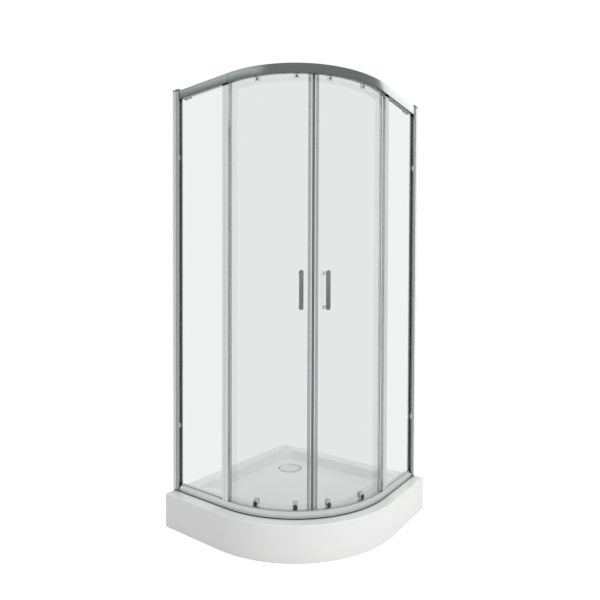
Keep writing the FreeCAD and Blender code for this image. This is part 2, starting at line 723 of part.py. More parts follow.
# ---- rail ends ------------------------------------------------------------------------------
def make_rail_brackets():
    """Plastic end pieces that key the rails to the post."""
    tongue_x = rail_end_x + bracket_tongue_length
    near = face_y + bracket_setback
    top_plate = box(post_front_x, rail_end_x, near, face_y + top_rail_depth - bracket_setback,
                    leg_bottom, rail_top - rail_skin)
    glass_slot = box(post_front_x - OVERSHOOT, rail_end_x + OVERSHOOT, face_y + glazing_slot_start,
                     face_y + glazing_slot_end, 0, rail_top)
    top_tongue = box(rail_end_x, tongue_x, face_y + track_ledge_end + bracket_fit,
                     face_y + top_rail_depth - rail_skin - bracket_fit,
                     ledge_top + bracket_fit, top_skin_bottom - bracket_fit)
    top_piece = top_plate.cut(glass_slot)
    top_piece = top_piece.Solids[1] if top_piece.Solids[1].Volume > top_piece.Solids[0].Volume \
        else top_piece.Solids[0]
    top_piece = top_piece.fuse(top_tongue).removeSplitter()
    bottom_plate = box(post_front_x, rail_end_x, near, face_y + track_ledge_end,
                       rail_base, crest_top - bottom_groove_depth)
    bottom_tongue = box(rail_end_x, tongue_x, face_y + glazing_slot_end + rail_skin + bracket_fit,
                        face_y + track_ledge_end - rail_skin - bracket_fit,
                        rail_base + bracket_fit, crest_top - rail_skin - bracket_fit)
    bottom_piece = bottom_plate.fuse(bottom_tongue).removeSplitter()
    return top_piece, bottom_piece


def make_frame_screws():
    """Screws from the shower side, through the rails into the brackets' tongues."""
    x = rail_end_x + frame_screw_reach
    inner_leg_bottom = top_skin_bottom - inner_leg_drop
    top_z = (inner_leg_bottom + top_skin_bottom) / 2.0
    bottom_z = (rail_base + crest_top) / 2.0
    screws = []
    for depth, z in ((top_rail_depth, top_z), (track_ledge_end, bottom_z)):
        seat = vec(x, face_y + depth, z)
        head = Part.makeCylinder(frame_screw_head_radius, frame_screw_head_height, seat, vec(0, 1, 0))
        shank = Part.makeCylinder(frame_screw_radius, frame_screw_length, seat, vec(0, -1, 0))
        screws.append(head.fuse(shank).removeSplitter())
    return screws


def drill(shape, screws):
    for screw in screws:
        shape = shape.cut(screw)
    return shape


def make_stop():
    """Rubber block under the top rail's skin that the trailing hanger meets when fully open."""
    angle = door_middle_angle - roller_offsets[1]
    turn = math.radians(-door_travel)
    corner = on_curve(face_radius - carrier_start,
                      angle - arc_degrees(hanger_half_width, door_outer_radius))
    away_x = corner.x - door_pivot[0]
    away_y = corner.y - door_pivot[1]
    reached_x = door_pivot[0] + away_x * math.cos(turn) - away_y * math.sin(turn)
    near = face_y + track_ledge_end
    far = face_y + top_rail_depth - rail_skin
    return box(reached_x - stop_gap - stop_length, reached_x - stop_gap, near, far,
               top_skin_bottom - stop_height, top_skin_bottom)


# ---- doors ----------------------------------------------------------------------------------
def edge_angle(length):
    """The angle that lies this far from the middle of the front, on the left door."""
    return door_middle_angle - arc_degrees(length, door_outer_radius)


def roller_angles():
    return [door_middle_angle - offset for offset in roller_offsets]


def handle_angle():
    return door_middle_angle - handle_offset


def top_pin_z():
    return leg_bottom - top_pin_drop


def guide_pin_z():
    return crest_top + guide_pin_rise


def handle_bolt_heights():
    reach = (handle_length - handle_width) / 2.0
    return handle_z - reach, handle_z + reach


def make_door_glass():
    glass_edge = door_half_gap + magnet_width + closing_profile_width - closing_profile_bite
    rear_edge = door_rear_angle + arc_degrees(rear_profile_width - rear_profile_bite, door_outer_radius)
    glass = sector(door_inner_radius, door_outer_radius, rear_edge, edge_angle(glass_edge),
                   door_bottom, door_top)
    hole_radius = clamp_pin_radius + clamp_hole_clearance
    under = door_inner_radius - OVERSHOOT
    over = door_outer_radius + OVERSHOOT
    for angle in roller_angles():
        for z in (top_pin_z(), guide_pin_z()):
            glass = glass.cut(radial_rod(hole_radius, under, over, angle, z))
    for z in handle_bolt_heights():
        glass = glass.cut(radial_rod(handle_bolt_radius, under, over, handle_angle(), z))
    return glass


def make_closing_profile():
    near = door_half_gap + magnet_width
    far = near + closing_profile_width
    outer = face_radius - closing_profile_start
    body = sector(outer - closing_profile_depth, outer, edge_angle(far), edge_angle(near),
                  door_bottom, door_top)
    slot = sector(door_inner_radius, door_outer_radius, edge_angle(far + OVERSHOOT),
                  edge_angle(far - closing_profile_bite), door_bottom - OVERSHOOT, door_top + OVERSHOOT)
    return body.cut(slot)


def make_magnet():
    outer = face_radius - magnet_start
    return sector(outer - magnet_depth, outer, edge_angle(door_half_gap + magnet_width),
                  edge_angle(door_half_gap), door_bottom, door_top)


def make_rear_profile():
    """Edge strip on the trailing edge, with the fin that meets the fixed panel's jamb."""
    outer = face_radius - rear_profile_start
    front_angle = door_rear_angle + arc_degrees(rear_profile_width, door_outer_radius)
    bite_angle = front_angle - arc_degrees(rear_profile_bite, door_outer_radius)
    fin_angle = door_rear_angle + arc_degrees(rear_profile_width / 2.0, door_outer_radius)
    body = sector(outer - rear_profile_depth, outer, door_rear_angle, front_angle, door_bottom, door_top)
    slot = sector(door_inner_radius, door_outer_radius, bite_angle,
                  front_angle + arc_degrees(OVERSHOOT, door_outer_radius),
                  door_bottom - OVERSHOOT, door_top + OVERSHOOT)
    jamb_face = face_radius - jamb_start - jamb_depth
    fin = sector(outer - OVERSHOOT, jamb_face - rear_fin_gap, fin_angle,
                 fin_angle + arc_degrees(rear_fin_thickness, door_outer_radius),
                 crest_top + OVERSHOOT, leg_bottom - OVERSHOOT)
    return body.cut(slot).fuse(fin).removeSplitter()


def make_hanger(angle):
    """Top roller carrier: hooks over the glass and is clamped to its inner face."""
    half = hanger_half_width
    plate = pad(door_inner_radius - hanger_plate, door_inner_radius, angle, half,
                ledge_top - hanger_plate_below_ledge, ledge_top + hanger_plate_above_ledge - rail_skin)
    block_bottom = door_top + hanger_glass_gap
    block = pad(door_inner_radius - hanger_block_behind_glass, face_radius - carrier_start, angle,
                half, block_bottom, block_bottom + hanger_block_height)
    axle = radial_rod(axle_radius, face_radius - carrier_start - OVERSHOOT,
                      wheel_outer_face + axle_clip_gap, angle, top_wheel_z)
    clip = radial_rod(axle_clip_radius, wheel_outer_face + axle_clip_gap,
                      wheel_outer_face + axle_clip_gap + axle_clip_thickness, angle, top_wheel_z)
    hanger = plate.fuse([block, axle, clip]).removeSplitter()
    return hanger.cut(radial_rod(clamp_pin_radius, 0, door_outer_radius, angle, top_pin_z()))


def make_guide(angle):
    """Bottom roller carrier: outer block with its wheel axle, and the housing behind the glass."""
    base = crest_top + guide_base_gap
    top = crest_top + guide_height
    block_outer = face_radius - carrier_start
    block = pad(door_outer_radius, block_outer, angle, guide_half_width, base, top)
    turn = math.radians(angle)
    outwards = vec(math.cos(turn), math.sin(turn), 0)
    arch = Part.makeCylinder(guide_half_width, block_outer, on_curve(0, angle, top - guide_half_width),
                             outwards)
    square = pad(door_outer_radius - OVERSHOOT, block_outer + OVERSHOOT, angle,
                 guide_half_width + OVERSHOOT, base - OVERSHOOT, top - guide_half_width)
    block = block.common(arch.fuse(square))
    axle = radial_rod(axle_radius, block_outer - OVERSHOOT, wheel_outer_face + axle_clip_gap, angle,
                      bottom_wheel_z)
    clip = radial_rod(axle_clip_radius, wheel_outer_face + axle_clip_gap,
                      wheel_outer_face + axle_clip_gap + axle_clip_thickness, angle, bottom_wheel_z)
    block = block.fuse([axle, clip]).removeSplitter()
    housing = pad(door_inner_radius - guide_housing_depth, door_inner_radius, angle,
                  guide_half_width, base, top)
    pocket = radial_rod(button_radius + button_clearance,
                        door_inner_radius - guide_housing_depth - OVERSHOOT,
                        door_inner_radius - guide_housing_depth + button_pocket, angle,
                        crest_top + button_rise)
    housing = housing.cut(pocket)
    pin = radial_rod(clamp_pin_radius, 0, face_radius, angle, guide_pin_z())
    return [block.cut(pin), housing.cut(pin)]


def make_button(angle):
    """Release button: pressed towards the glass, it frees the guide for cleaning."""
    opening = door_inner_radius - guide_housing_depth
    z = crest_top + button_rise
    inner_end = opening - button_proud
    outer_end = opening + button_pocket - button_travel - button_end_room
    button = radial_rod(button_radius, inner_end, outer_end, angle, z)
    return round_ends(button, button_edge, inner_end, angle)


def make_clamp_pins():
    """Pins through the glass, with a dark cap outside: one for each hanger and guide."""
    pins = []
    guide_outer = face_radius - carrier_start
    for angle in roller_angles():
        cap = radial_rod(clamp_cap_radius, door_outer_radius, door_outer_radius + clamp_cap_height,
                         angle, top_pin_z())
        cap = round_ends(cap, clamp_cap_edge, door_outer_radius + clamp_cap_height, angle)
        shank = radial_rod(clamp_pin_radius, door_inner_radius - hanger_plate, door_outer_radius,
                           angle, top_pin_z())
        pins.append(cap.fuse(shank).removeSplitter())
        cap = radial_rod(guide_cap_radius, guide_outer, guide_outer + guide_cap_height,
                         angle, guide_pin_z())
        shank = radial_rod(clamp_pin_radius, door_inner_radius - guide_housing_depth, guide_outer,
                           angle, guide_pin_z())
        pins.append(cap.fuse(shank).removeSplitter())
    return pins


def make_wheel(angle, z):
    wheel = radial_rod(wheel_radius, wheel_inner_face, wheel_outer_face, angle, z)
    wheel = round_ends(wheel, wheel_edge, wheel_inner_face, angle)
    wheel = round_ends(wheel, wheel_edge, wheel_outer_face, angle)
    bore = radial_rod(axle_radius + wheel_bore_clearance, wheel_inner_face - OVERSHOOT,
                      wheel_outer_face + OVERSHOOT, angle, z)
    return wheel.cut(bore)


# ---- handles ----------------------------------------------------------------------------------
def make_handle_bar():
    """Flat bar with rounded ends, standing off the glass on two posts."""
    inner = door_outer_radius + handle_standoff
    low, high = handle_bolt_heights()
    turn = math.radians(handle_angle())
    outwards = vec(math.cos(turn), math.sin(turn), 0)
    across = vec(-math.sin(turn), math.cos(turn), 0)
    half = handle_width / 2.0
    low_middle = on_curve(inner, handle_angle(), low)
    high_middle = on_curve(inner, handle_angle(), high)
    low_a = low_middle - across * half
    low_b = low_middle + across * half
    high_a = high_middle - across * half
    high_b = high_middle + across * half
    outline = Part.Wire([
        Part.Arc(low_a, low_middle - vec(0, 0, half), low_b).toShape(),
        Part.makeLine(low_b, high_b),
        Part.Arc(high_b, high_middle + vec(0, 0, half), high_a).toShape(),
        Part.makeLine(high_a, low_a),
    ])
    bar = Part.Face(outline).extrude(outwards * handle_thickness)
    face_at = inner + handle_thickness
    front = on_curve(face_at, handle_angle())
    front_edges = []
    for edge in bar.Edges:
        ends_flat = [abs((v.Point - front).dot(outwards)) < 0.01 for v in edge.Vertexes]
        middle = edge.valueAt((edge.FirstParameter + edge.LastParameter) / 2.0)
        if all(ends_flat) and abs((middle - front).dot(outwards)) < 0.01:
            front_edges.append(edge)
    return bar.makeFillet(handle_edge, front_edges)


def make_handle_fixings():
    """Post, outer rose, bolt and inner cap at each end of the handle."""
    fixings = []
    for z in handle_bolt_heights():
        angle = handle_angle()
        post = radial_rod(handle_post_radius, door_outer_radius, door_outer_radius + handle_standoff,
                          angle, z)
        rose = radial_rod(handle_rose_radius, door_outer_radius, door_outer_radius + handle_rose_height,
                          angle, z)
        bolt = radial_rod(handle_bolt_radius, door_inner_radius, door_outer_radius, angle, z)
        cap = radial_rod(handle_rose_radius, door_inner_radius - handle_cap_height, door_inner_radius,
                         angle, z)
        cap = cap.common(upright(door_inner_radius, centre_x, centre_y, 0, rail_top))
        fixing = post.fuse([rose, bolt, cap]).removeSplitter()
        fixings.append(fixing)
    return fixings


def save_pair(name, left_shapes):
    """Write the left-hand node and its mirrored right-hand twin."""
    save(name + "_left", left_shapes)
    save(name + "_right", [mirrored(shape) for shape in left_shapes])


def build():
    os.makedirs("parts", exist_ok=True)

    save("tray_shell", [make_tray()])
    save("tray_board", [make_board()])
    sockets, studs, nuts, pads = make_feet()
    save("foot_sockets", sockets)
    save("foot_studs", studs)
    save("foot_locknuts", nuts)
    save("foot_pads", pads)

    flange, gasket, trap, dip_tube, cover = make_waste()
    save("waste_flange", [flange])
    save("waste_gasket", [gasket])
    save("waste_trap", [trap])
    save("waste_dip_tube", [dip_tube])
    save("drain_cover", [cover])

    screws = both_sides(make_frame_screws())
    top_bracket, bottom_bracket = make_rail_brackets()
    brackets = [drill(piece, screws) for piece in both_sides([top_bracket, bottom_bracket])]
    save("base_seal", [make_base_seal()])
    save("top_rail", [drill(make_top_rail(), screws)])
    save("bottom_rail", [drill(make_bottom_rail(), screws)])
    save("rail_brackets", brackets)
    save("frame_screws", screws)
    save("door_stops", both_sides([make_stop()]))

    save_pair("wall_channel", [make_channel()])
    save_pair("side_post", [drill_post(make_post())])
    save("post_caps", both_sides([make_post_cap()]))
    save("adjusting_screws", both_sides(make_adjusting_screws()))
    save_pair("fixed_glass", [make_fixed_glass()])
    save("glazing_gaskets", both_sides(make_gaskets()))
    save_pair("jamb_profile", [make_jamb()])

    save_pair("door_glass", [make_door_glass()])
    save_pair("closing_profile", [make_closing_profile()])
    save_pair("magnetic_seal", [make_magnet()])
    save_pair("rear_profile", [make_rear_profile()])
    save_pair("handle_bar", [make_handle_bar()])
    save_pair("handle_fixings", make_handle_fixings())
    save_pair("top_hangers", [make_hanger(angle) for angle in roller_angles()])
    guides = []
    for angle in roller_angles():
        guides.extend(make_guide(angle))
    save_pair("bottom_guides", guides)
    save_pair("clamp_pins", make_clamp_pins())
    for place, angle in zip(("lead", "trail"), roller_angles()):
        save_pair("top_wheel_" + place, [make_wheel(angle, top_wheel_z)])
        save_pair("bottom_wheel_" + place, [make_wheel(angle, bottom_wheel_z)])
        save_pair("release_button_" + place, [make_button(angle)])


build()
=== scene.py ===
import math
import bpy
import bmesh
from mathutils import Vector, Matrix


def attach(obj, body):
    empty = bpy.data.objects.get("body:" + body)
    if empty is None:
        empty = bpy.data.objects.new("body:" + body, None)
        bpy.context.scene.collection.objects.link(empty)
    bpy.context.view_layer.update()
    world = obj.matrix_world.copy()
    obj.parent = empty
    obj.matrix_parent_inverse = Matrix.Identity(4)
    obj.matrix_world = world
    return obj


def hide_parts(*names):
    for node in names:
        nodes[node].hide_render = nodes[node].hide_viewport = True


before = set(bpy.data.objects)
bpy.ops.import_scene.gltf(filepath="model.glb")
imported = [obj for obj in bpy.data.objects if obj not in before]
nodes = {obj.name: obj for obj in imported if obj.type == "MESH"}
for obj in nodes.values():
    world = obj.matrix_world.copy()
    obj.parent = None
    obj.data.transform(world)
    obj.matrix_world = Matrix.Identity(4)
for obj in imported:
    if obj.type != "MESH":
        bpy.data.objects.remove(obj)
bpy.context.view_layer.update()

# ---- Floor, light and camera -----------------------------------------------------------------
# A plain pale floor and world. Soft lamps stand at the right, in front and above, and two high
# strip lamps are kept for the top rail. The camera stands where the enclosure was pictured from.
studio = bpy.context.scene
studio.view_settings.view_transform = "Standard"
white = (1, 1, 1, 1)
fill_light = 0.36
floor_tone, floor_glow = 0.8, 0.78
floor_reach, floor_height = 14, -0.001


def new_tree(name):
    """A fresh node material: the material, its node tree and its output node."""
    finish = bpy.data.materials.new(name)
    finish.use_nodes = True
    finish.node_tree.nodes.clear()
    return finish, finish.node_tree, finish.node_tree.nodes.new("ShaderNodeOutputMaterial")


def feed(tree, value, node, label):
    """Give a node's input a plain value, or link it to the socket that it reads."""
    if isinstance(value, bpy.types.NodeSocket):
        tree.links.new(value, node.inputs[label])
    else:
        node.inputs[label].default_value = value


def add(tree, kind, feeds=None, **settings):
    """A new node with its settings, and with what its inputs hold or read."""
    node = tree.nodes.new(kind)
    for label, value in settings.items():
        setattr(node, label, value)
    for label, value in (feeds or {}).items():
        feed(tree, value, node, label)
    return node


def result(tree, kind, feeds=None, **settings):
    """The first output of a new node."""
    return add(tree, kind, feeds, **settings).outputs[0]


def maths(tree, operation, *values):
    """One sum on sockets and plain numbers."""
    return result(tree, "ShaderNodeMath", dict(enumerate(values)), operation=operation)


world = bpy.data.worlds.new("plain studio")
studio.world = world
world.use_nodes = True
sky = world.node_tree
sky.nodes.clear()
ray = add(sky, "ShaderNodeLightPath").outputs
seen = maths(sky, "MAXIMUM", maths(sky, "MAXIMUM", ray["Is Camera Ray"], ray["Is Glossy Ray"]),
             ray["Is Transmission Ray"])
shining = result(sky, "ShaderNodeBackground", {"Color": white, "Strength": fill_light})
shown = result(sky, "ShaderNodeBackground", {"Color": white, "Strength": 1.0})
picked = result(sky, "ShaderNodeMixShader", {"Fac": seen, 1: shining, 2: shown})
add(sky, "ShaderNodeOutputWorld", {"Surface": picked})

floor_mesh = bpy.data.meshes.new("studio_floor")
floor_mesh.from_pydata([(x * floor_reach, y * floor_reach, floor_height)
                        for x, y in ((-1, -1), (1, -1), (1, 1), (-1, 1))], [], [(0, 1, 2, 3)])
floor = bpy.data.objects.new("studio_floor", floor_mesh)
studio.collection.objects.link(floor)
floor_finish, tree, out = new_tree("pale floor")
ray = add(tree, "ShaderNodeLightPath").outputs
matt = result(tree, "ShaderNodeBsdfDiffuse", {"Color": (floor_tone, floor_tone, floor_tone, 1)})
glow = result(tree, "ShaderNodeEmission", {
    "Color": white, "Strength": maths(tree, "MULTIPLY", ray["Is Camera Ray"], floor_glow)})
shadowed = result(tree, "ShaderNodeAddShader", {0: matt, 1: glow})
mirrored = maths(tree, "MAXIMUM", ray["Is Glossy Ray"], ray["Is Transmission Ray"])
plain = result(tree, "ShaderNodeEmission", {"Color": white, "Strength": 1.0})
picked = result(tree, "ShaderNodeMixShader", {"Fac": mirrored, 1: shadowed, 2: plain})
feed(tree, picked, out, "Surface")
floor_mesh.materials.append(floor_finish)


def soft_lamp(name, place, aim, width, height, watts, shows_in_metal):
    """A rectangular lamp aimed at a point. None of them shows through the glass."""
    lamp = bpy.data.lights.new(name, "AREA")
    lamp.shape = "RECTANGLE"
    lamp.size = width
    lamp.size_y = height
    lamp.energy = watts
    holder = bpy.data.objects.new(name, lamp)
    studio.collection.objects.link(holder)
    holder.location = place
    holder.rotation_euler = (Vector(aim) - Vector(place)).to_track_quat("-Z", "Y").to_euler()
    holder.visible_glossy = shows_in_metal
    holder.visible_transmission = False


soft_lamp("right_softbox", place=(4.0, -0.7, 1.6), aim=(0, 0, 1.0), width=2.4, height=2.6,
          watts=80, shows_in_metal=False)
soft_lamp("front_softbox", place=(-0.3, -4.4, 1.8), aim=(0, 0, 0.9), width=2.6, height=2.4,
          watts=22, shows_in_metal=False)
soft_lamp("top_softbox", place=(-0.5, 0.5, 4.6), aim=(0, 0, 0.6), width=2.6, height=2.6,
          watts=105, shows_in_metal=False)
soft_lamp("high_left_strip", place=(-1.9, -3.9, 4.15), aim=(0, -0.2, 2.0), width=4.2, height=0.9,
          watts=22, shows_in_metal=True)
soft_lamp("high_right_strip", place=(1.9, 3.45, 3.5), aim=(0.4, 0.25, 2.0), width=1.7, height=2.0,
          watts=35, shows_in_metal=True)

camera_data = bpy.data.cameras.new("photograph_view")
camera_data.sensor_width = 36.0
camera_data.lens = 28.75
camera_data.clip_start = 0.05
camera = bpy.data.objects.new("photograph_view", camera_data)
studio.collection.objects.link(camera)
studio.camera = camera
camera_distance = 2.3145
camera_height = 1.0930
camera_azimuth = math.radians(35.76)
camera_heading = math.radians(35.84)
camera_pitch = math.radians(-0.988)
camera_roll = math.radians(0.212)
camera.location = (camera_distance * math.sin(camera_azimuth),
                   -camera_distance * math.cos(camera_azimuth), camera_height)
ahead = Vector((-math.sin(camera_heading) * math.cos(camera_pitch),
                math.cos(camera_heading) * math.cos(camera_pitch), math.sin(camera_pitch)))
camera.rotation_mode = "QUATERNION"
camera.rotation_quaternion = (ahead.to_track_quat("-Z", "Y")
                              @ Matrix.Rotation(camera_roll, 3, "Z").to_quaternion())

# ---- Adjustable feet -------------------------------------------------------------------------
# Five zinc-plated studs with rolled threads screw into moulded sockets under the board and
# stand on ribbed rubber pads. A nut on each stud locks the height.
foot_places = [(-0.32207, 0.32207), (-0.312, -0.130), (0.130, 0.312), (0.06971, -0.06971),
               (-0.10968, 0.10968)]
pad_top = 0.008
stud_length, stud_crest, stud_root, stud_pitch = 0.077, 0.005, 0.0044, 0.0015
pad_rib_count, pad_rib_ring, pad_rib_size = 12, 0.0145, (0.013, 0.0016, 0.0018)


def new_finish(name, colour, roughness, metallic=0.0):
    """A material whose colour, roughness and metalness sit on its shader's own sockets."""
    finish, tree, out = new_tree(name)
    shader = add(tree, "ShaderNodeBsdfPrincipled", {
        "Base Color": (*colour, 1), "Roughness": roughness, "Metallic": metallic})
    feed(tree, shader.outputs[0], out, "Surface")
    return finish, tree, shader


def along(tree, scale=(1, 1, 1)):
    """The piece's own place as a vector, stretched or flattened along its axes."""
    place = add(tree, "ShaderNodeTexCoord").outputs["Object"]
    return result(tree, "ShaderNodeMapping", {"Vector": place, "Scale": scale})


def ranged(tree, value, low, high, start=0.0, end=1.0):
    """A pattern's values from start to end, carried over to low to high."""
    return result(tree, "ShaderNodeMapRange", {
        "Value": value, "From Min": start, "From Max": end, "To Min": low, "To Max": high})


def above(tree, value, limit, soft):
    """1 over a limit and 0 under it, with a soft edge on each side of the limit."""
    return ranged(tree, value, 0.0, 1.0, limit - soft, limit + soft)


def below(tree, value, limit, soft):
    """1 under a limit and 0 over it, with a soft edge on each side of the limit."""
    return ranged(tree, value, 1.0, 0.0, limit - soft, limit + soft)


def two_tones(tree, mask, first, second):
    """One colour where the mask is 0 and another where it is 1."""
    first, second = ((*tone, 1) if isinstance(tone, tuple) else tone for tone in (first, second))
    mix = add(tree, "ShaderNodeMix", {0: mask, 6: first, 7: second}, data_type="RGBA")
    return mix.outputs[2]


def relief(tree, shader, height, depth):
    """Fine unevenness in a surface, as deep as the real one."""
    feed(tree, result(tree, "ShaderNodeBump", {"Height": height, "Distance": depth}),
         shader, "Normal")


def dress(finish, *names):
    """Give CAD nodes their finish."""
    for name in names:
        nodes[name].data.materials.clear()
        nodes[name].data.materials.append(finish)


def noise(tree, vector, scale, detail=2.0, rough=0.5):
    """A cloudy pattern from 0 to 1."""
    return add(tree, "ShaderNodeTexNoise", {
        "Vector": vector, "Scale": scale, "Detail": detail, "Roughness": rough}).outputs["Fac"]


def cells(tree, vector, scale, feature="F1"):
    """A pattern of irregular cells, each with a colour of its own."""
    return add(tree, "ShaderNodeTexVoronoi", {"Vector": vector, "Scale": scale},
               feature=feature).outputs


def split_colour(tree, colour):
    """The three parts of a cell's colour, which vary each on its own."""
    return add(tree, "ShaderNodeSeparateColor", {0: colour}).outputs


def effect_group(name, size_name, size, outputs):
    """An empty shader node group: a vector and one size go in, the named values come out."""
    group = bpy.data.node_groups.new(name, "ShaderNodeTree")
    group.interface.new_socket(name="Vector", in_out="INPUT", socket_type="NodeSocketVector")
    sized = group.interface.new_socket(name=size_name, in_out="INPUT",
                                       socket_type="NodeSocketFloat")
    sized.default_value = size
    for label in outputs:
        group.interface.new_socket(name=label, in_out="OUTPUT", socket_type="NodeSocketFloat")
    return group, add(group, "NodeGroupInput").outputs, add(group, "NodeGroupOutput")


def effect(tree, group, vector, size):
    """Lay an effect along a vector at a size of its own."""
    return add(tree, "ShaderNodeGroup", {0: vector, 1: size}, node_tree=group).outputs


# Moulded plastic and rubber share a fine grain and a slow drift of tone.
drift_share = 0.02
moulded_grain, given, made = effect_group("moulded grain", "Grain", 900.0, ["Height", "Tone"])
slower = maths(moulded_grain, "MULTIPLY", given["Grain"], drift_share)
feed(moulded_grain, noise(moulded_grain, given["Vector"], given["Grain"], detail=3.0),
     made, "Height")
tone_drift = noise(moulded_grain, given["Vector"], slower, detail=3.0)
feed(moulded_grain, above(moulded_grain, tone_drift, 0.5, soft=0.15), made, "Tone")


def grained(name, colour, roughness, grain):
    """A finish with the moulded grain laid through the piece's own place."""
    finish, tree, shader = new_finish(name, colour, roughness)
    return finish, tree, shader, effect(tree, moulded_grain, along(tree), grain)


def moulded(name, dark, light, roughness, grain=900.0, depth=0.0001):
    """Plastic or rubber from a mould: two close tones and a fine grain."""
    finish, tree, shader, skin = grained(name, light, roughness, grain)
    feed(tree, two_tones(tree, skin["Tone"], dark, light), shader, "Base Color")
    feed(tree, ranged(tree, skin["Tone"], roughness - 0.05, roughness + 0.07),
         shader, "Roughness")
    relief(tree, shader, skin["Height"], depth)
    return finish


zinc, tree, shader = new_finish("zinc plate", (0.6, 0.61, 0.6), roughness=0.34, metallic=1.0)
spangle = split_colour(tree, cells(tree, along(tree), 420.0)["Color"])
feed(tree, two_tones(tree, spangle[0], (0.46, 0.47, 0.45), (0.72, 0.72, 0.69)),
     shader, "Base Color")
feed(tree, ranged(tree, spangle[1], 0.26, 0.46), shader, "Roughness")

pad_rubber = moulded("foot pad rubber", (0.02, 0.021, 0.021), (0.045, 0.046, 0.046),
                     roughness=0.62, grain=1400.0)
socket_plastic = moulded("socket plastic", (0.74, 0.74, 0.72), (0.84, 0.84, 0.82),
                         roughness=0.42)
dress(zinc, "foot_locknuts")
dress(pad_rubber, "foot_pads")
dress(socket_plastic, "foot_sockets")


def rule_tree(name, inputs):
    """An empty geometry node tree that takes points and named inputs and gives one mesh."""
    tree = bpy.data.node_groups.new(name, "GeometryNodeTree")
    for label, kind in (("Points", "Geometry"), *inputs, ("Finish", "Material")):
        tree.interface.new_socket(name=label, in_out="INPUT", socket_type="NodeSocket" + kind)
    tree.interface.new_socket(name="Mesh", in_out="OUTPUT", socket_type="NodeSocketGeometry")
    return tree, add(tree, "NodeGroupInput").outputs, add(tree, "NodeGroupOutput")


def moved(tree, shape, **changes):
    """A shape after a Translation, Rotation or Scale."""
    return result(tree, "GeometryNodeTransform", {"Geometry": shape, **changes})


def raised_by(tree, height):
    """A vector that points straight up by a height."""
    return result(tree, "ShaderNodeCombineXYZ", {"Z": height})


def joined(tree, *shapes):
    """Several shapes as one."""
    join = add(tree, "GeometryNodeJoinGeometry")
    for shape in shapes:
        feed(tree, shape, join, 0)
    return join.outputs[0]


def set_on_points(tree, entry, shape, leave):
    """Put a shape on every point, make it real and give it its finish."""
    placed = result(tree, "GeometryNodeInstanceOnPoints", {
        "Points": entry["Points"], "Instance": shape})
    real = result(tree, "GeometryNodeRealizeInstances", {0: placed})
    feed(tree, result(tree, "GeometryNodeSetMaterial", {
        "Geometry": real, "Material": entry["Finish"]}), leave, "Mesh")


crease = math.radians(35)


def settled(piece, body, stands_for):
    """Smooth a piece but for its crisp edges, and let it ride on its body."""
    for face in piece.data.polygons:
        face.use_smooth = True
    piece.data.set_sharp_from_angle(angle=crease)
    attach(piece, body)
    if stands_for:
        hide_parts(*stands_for)
    return piece


def grown(name, points, tree, body, stands_for, slot, **sizes):
    """Run a rule on points, keep the plain mesh, and let it ride on a body."""
    seed = bpy.data.meshes.new(name)
    seed.from_pydata(points, [], [])
    piece = bpy.data.objects.new(name, seed)
    studio.collection.objects.link(piece)
    rule = piece.modifiers.new("rule", "NODES")
    rule.node_group = tree
    for item in tree.interface.items_tree:
        if item.in_out == "INPUT" and item.name.replace(" ", "_") in sizes:
            rule[item.identifier] = sizes[item.name.replace(" ", "_")]
    bpy.context.view_layer.update()
    evaluated = piece.evaluated_get(bpy.context.evaluated_depsgraph_get())
    shape = bpy.data.meshes.new_from_object(evaluated)
    piece.modifiers.remove(rule)
    piece.data = shape
    shape.name = name
    return settled(piece, body, stands_for)


thread_rule, entry, leave = rule_tree("rolled thread", [
    ("Crest Radius", "Float"), ("Root Radius", "Float"), ("Pitch", "Float"),
    ("Length", "Float")])
core = result(thread_rule, "GeometryNodeMeshCylinder", {
    "Vertices": 32, "Radius": entry["Root Radius"], "Depth": entry["Length"]})
half_way = raised_by(thread_rule, maths(thread_rule, "DIVIDE", entry["Length"], 2.0))
raised = moved(thread_rule, core, Translation=half_way)
helix = result(thread_rule, "GeometryNodeCurveSpiral", {
    "Resolution": 20, "Rotations": maths(thread_rule, "DIVIDE", entry["Length"], entry["Pitch"]),
    "Start Radius": entry["Root Radius"], "End Radius": entry["Root Radius"],
    "Height": entry["Length"]})
thread_depth = maths(thread_rule, "SUBTRACT", entry["Crest Radius"], entry["Root Radius"])
ridge = result(thread_rule, "GeometryNodeCurvePrimitiveCircle", {
    "Resolution": 4, "Radius": thread_depth})
swept = result(thread_rule, "GeometryNodeCurveToMesh", {
    "Curve": helix, "Profile Curve": ridge, "Fill Caps": True})
set_on_points(thread_rule, entry, joined(thread_rule, raised, swept), leave)
grown("threaded_studs", [(x, y, pad_top) for x, y in foot_places], thread_rule, "frame",
      ["foot_studs"], "zinc_steel", Crest_Radius=stud_crest, Root_Radius=stud_root,
      Pitch=stud_pitch, Length=stud_length, Finish=zinc)

rib_rule, entry, leave = rule_tree("pad ribs", [
    ("Count", "Int"), ("Ring Radius", "Float"), ("Rib Size", "Vector")])
rib_ring = result(rib_rule, "GeometryNodeMeshCircle", {
    "Vertices": entry["Count"], "Radius": entry["Ring Radius"]})
rib = result(rib_rule, "GeometryNodeMeshCube", {"Size": entry["Rib Size"]})
outward = result(rib_rule, "FunctionNodeAlignRotationToVector", {
    "Vector": result(rib_rule, "GeometryNodeInputPosition")}, axis="X")
rib_set = result(rib_rule, "GeometryNodeInstanceOnPoints", {
    "Points": rib_ring, "Instance": rib, "Rotation": outward})
set_on_points(rib_rule, entry, rib_set, leave)
grown("pad_ribs", [(x, y, pad_top) for x, y in foot_places], rib_rule, "frame", [],
      "black_plastic", Count=pad_rib_count, Ring_Radius=pad_rib_ring, Rib_Size=pad_rib_size,
      Finish=pad_rubber)

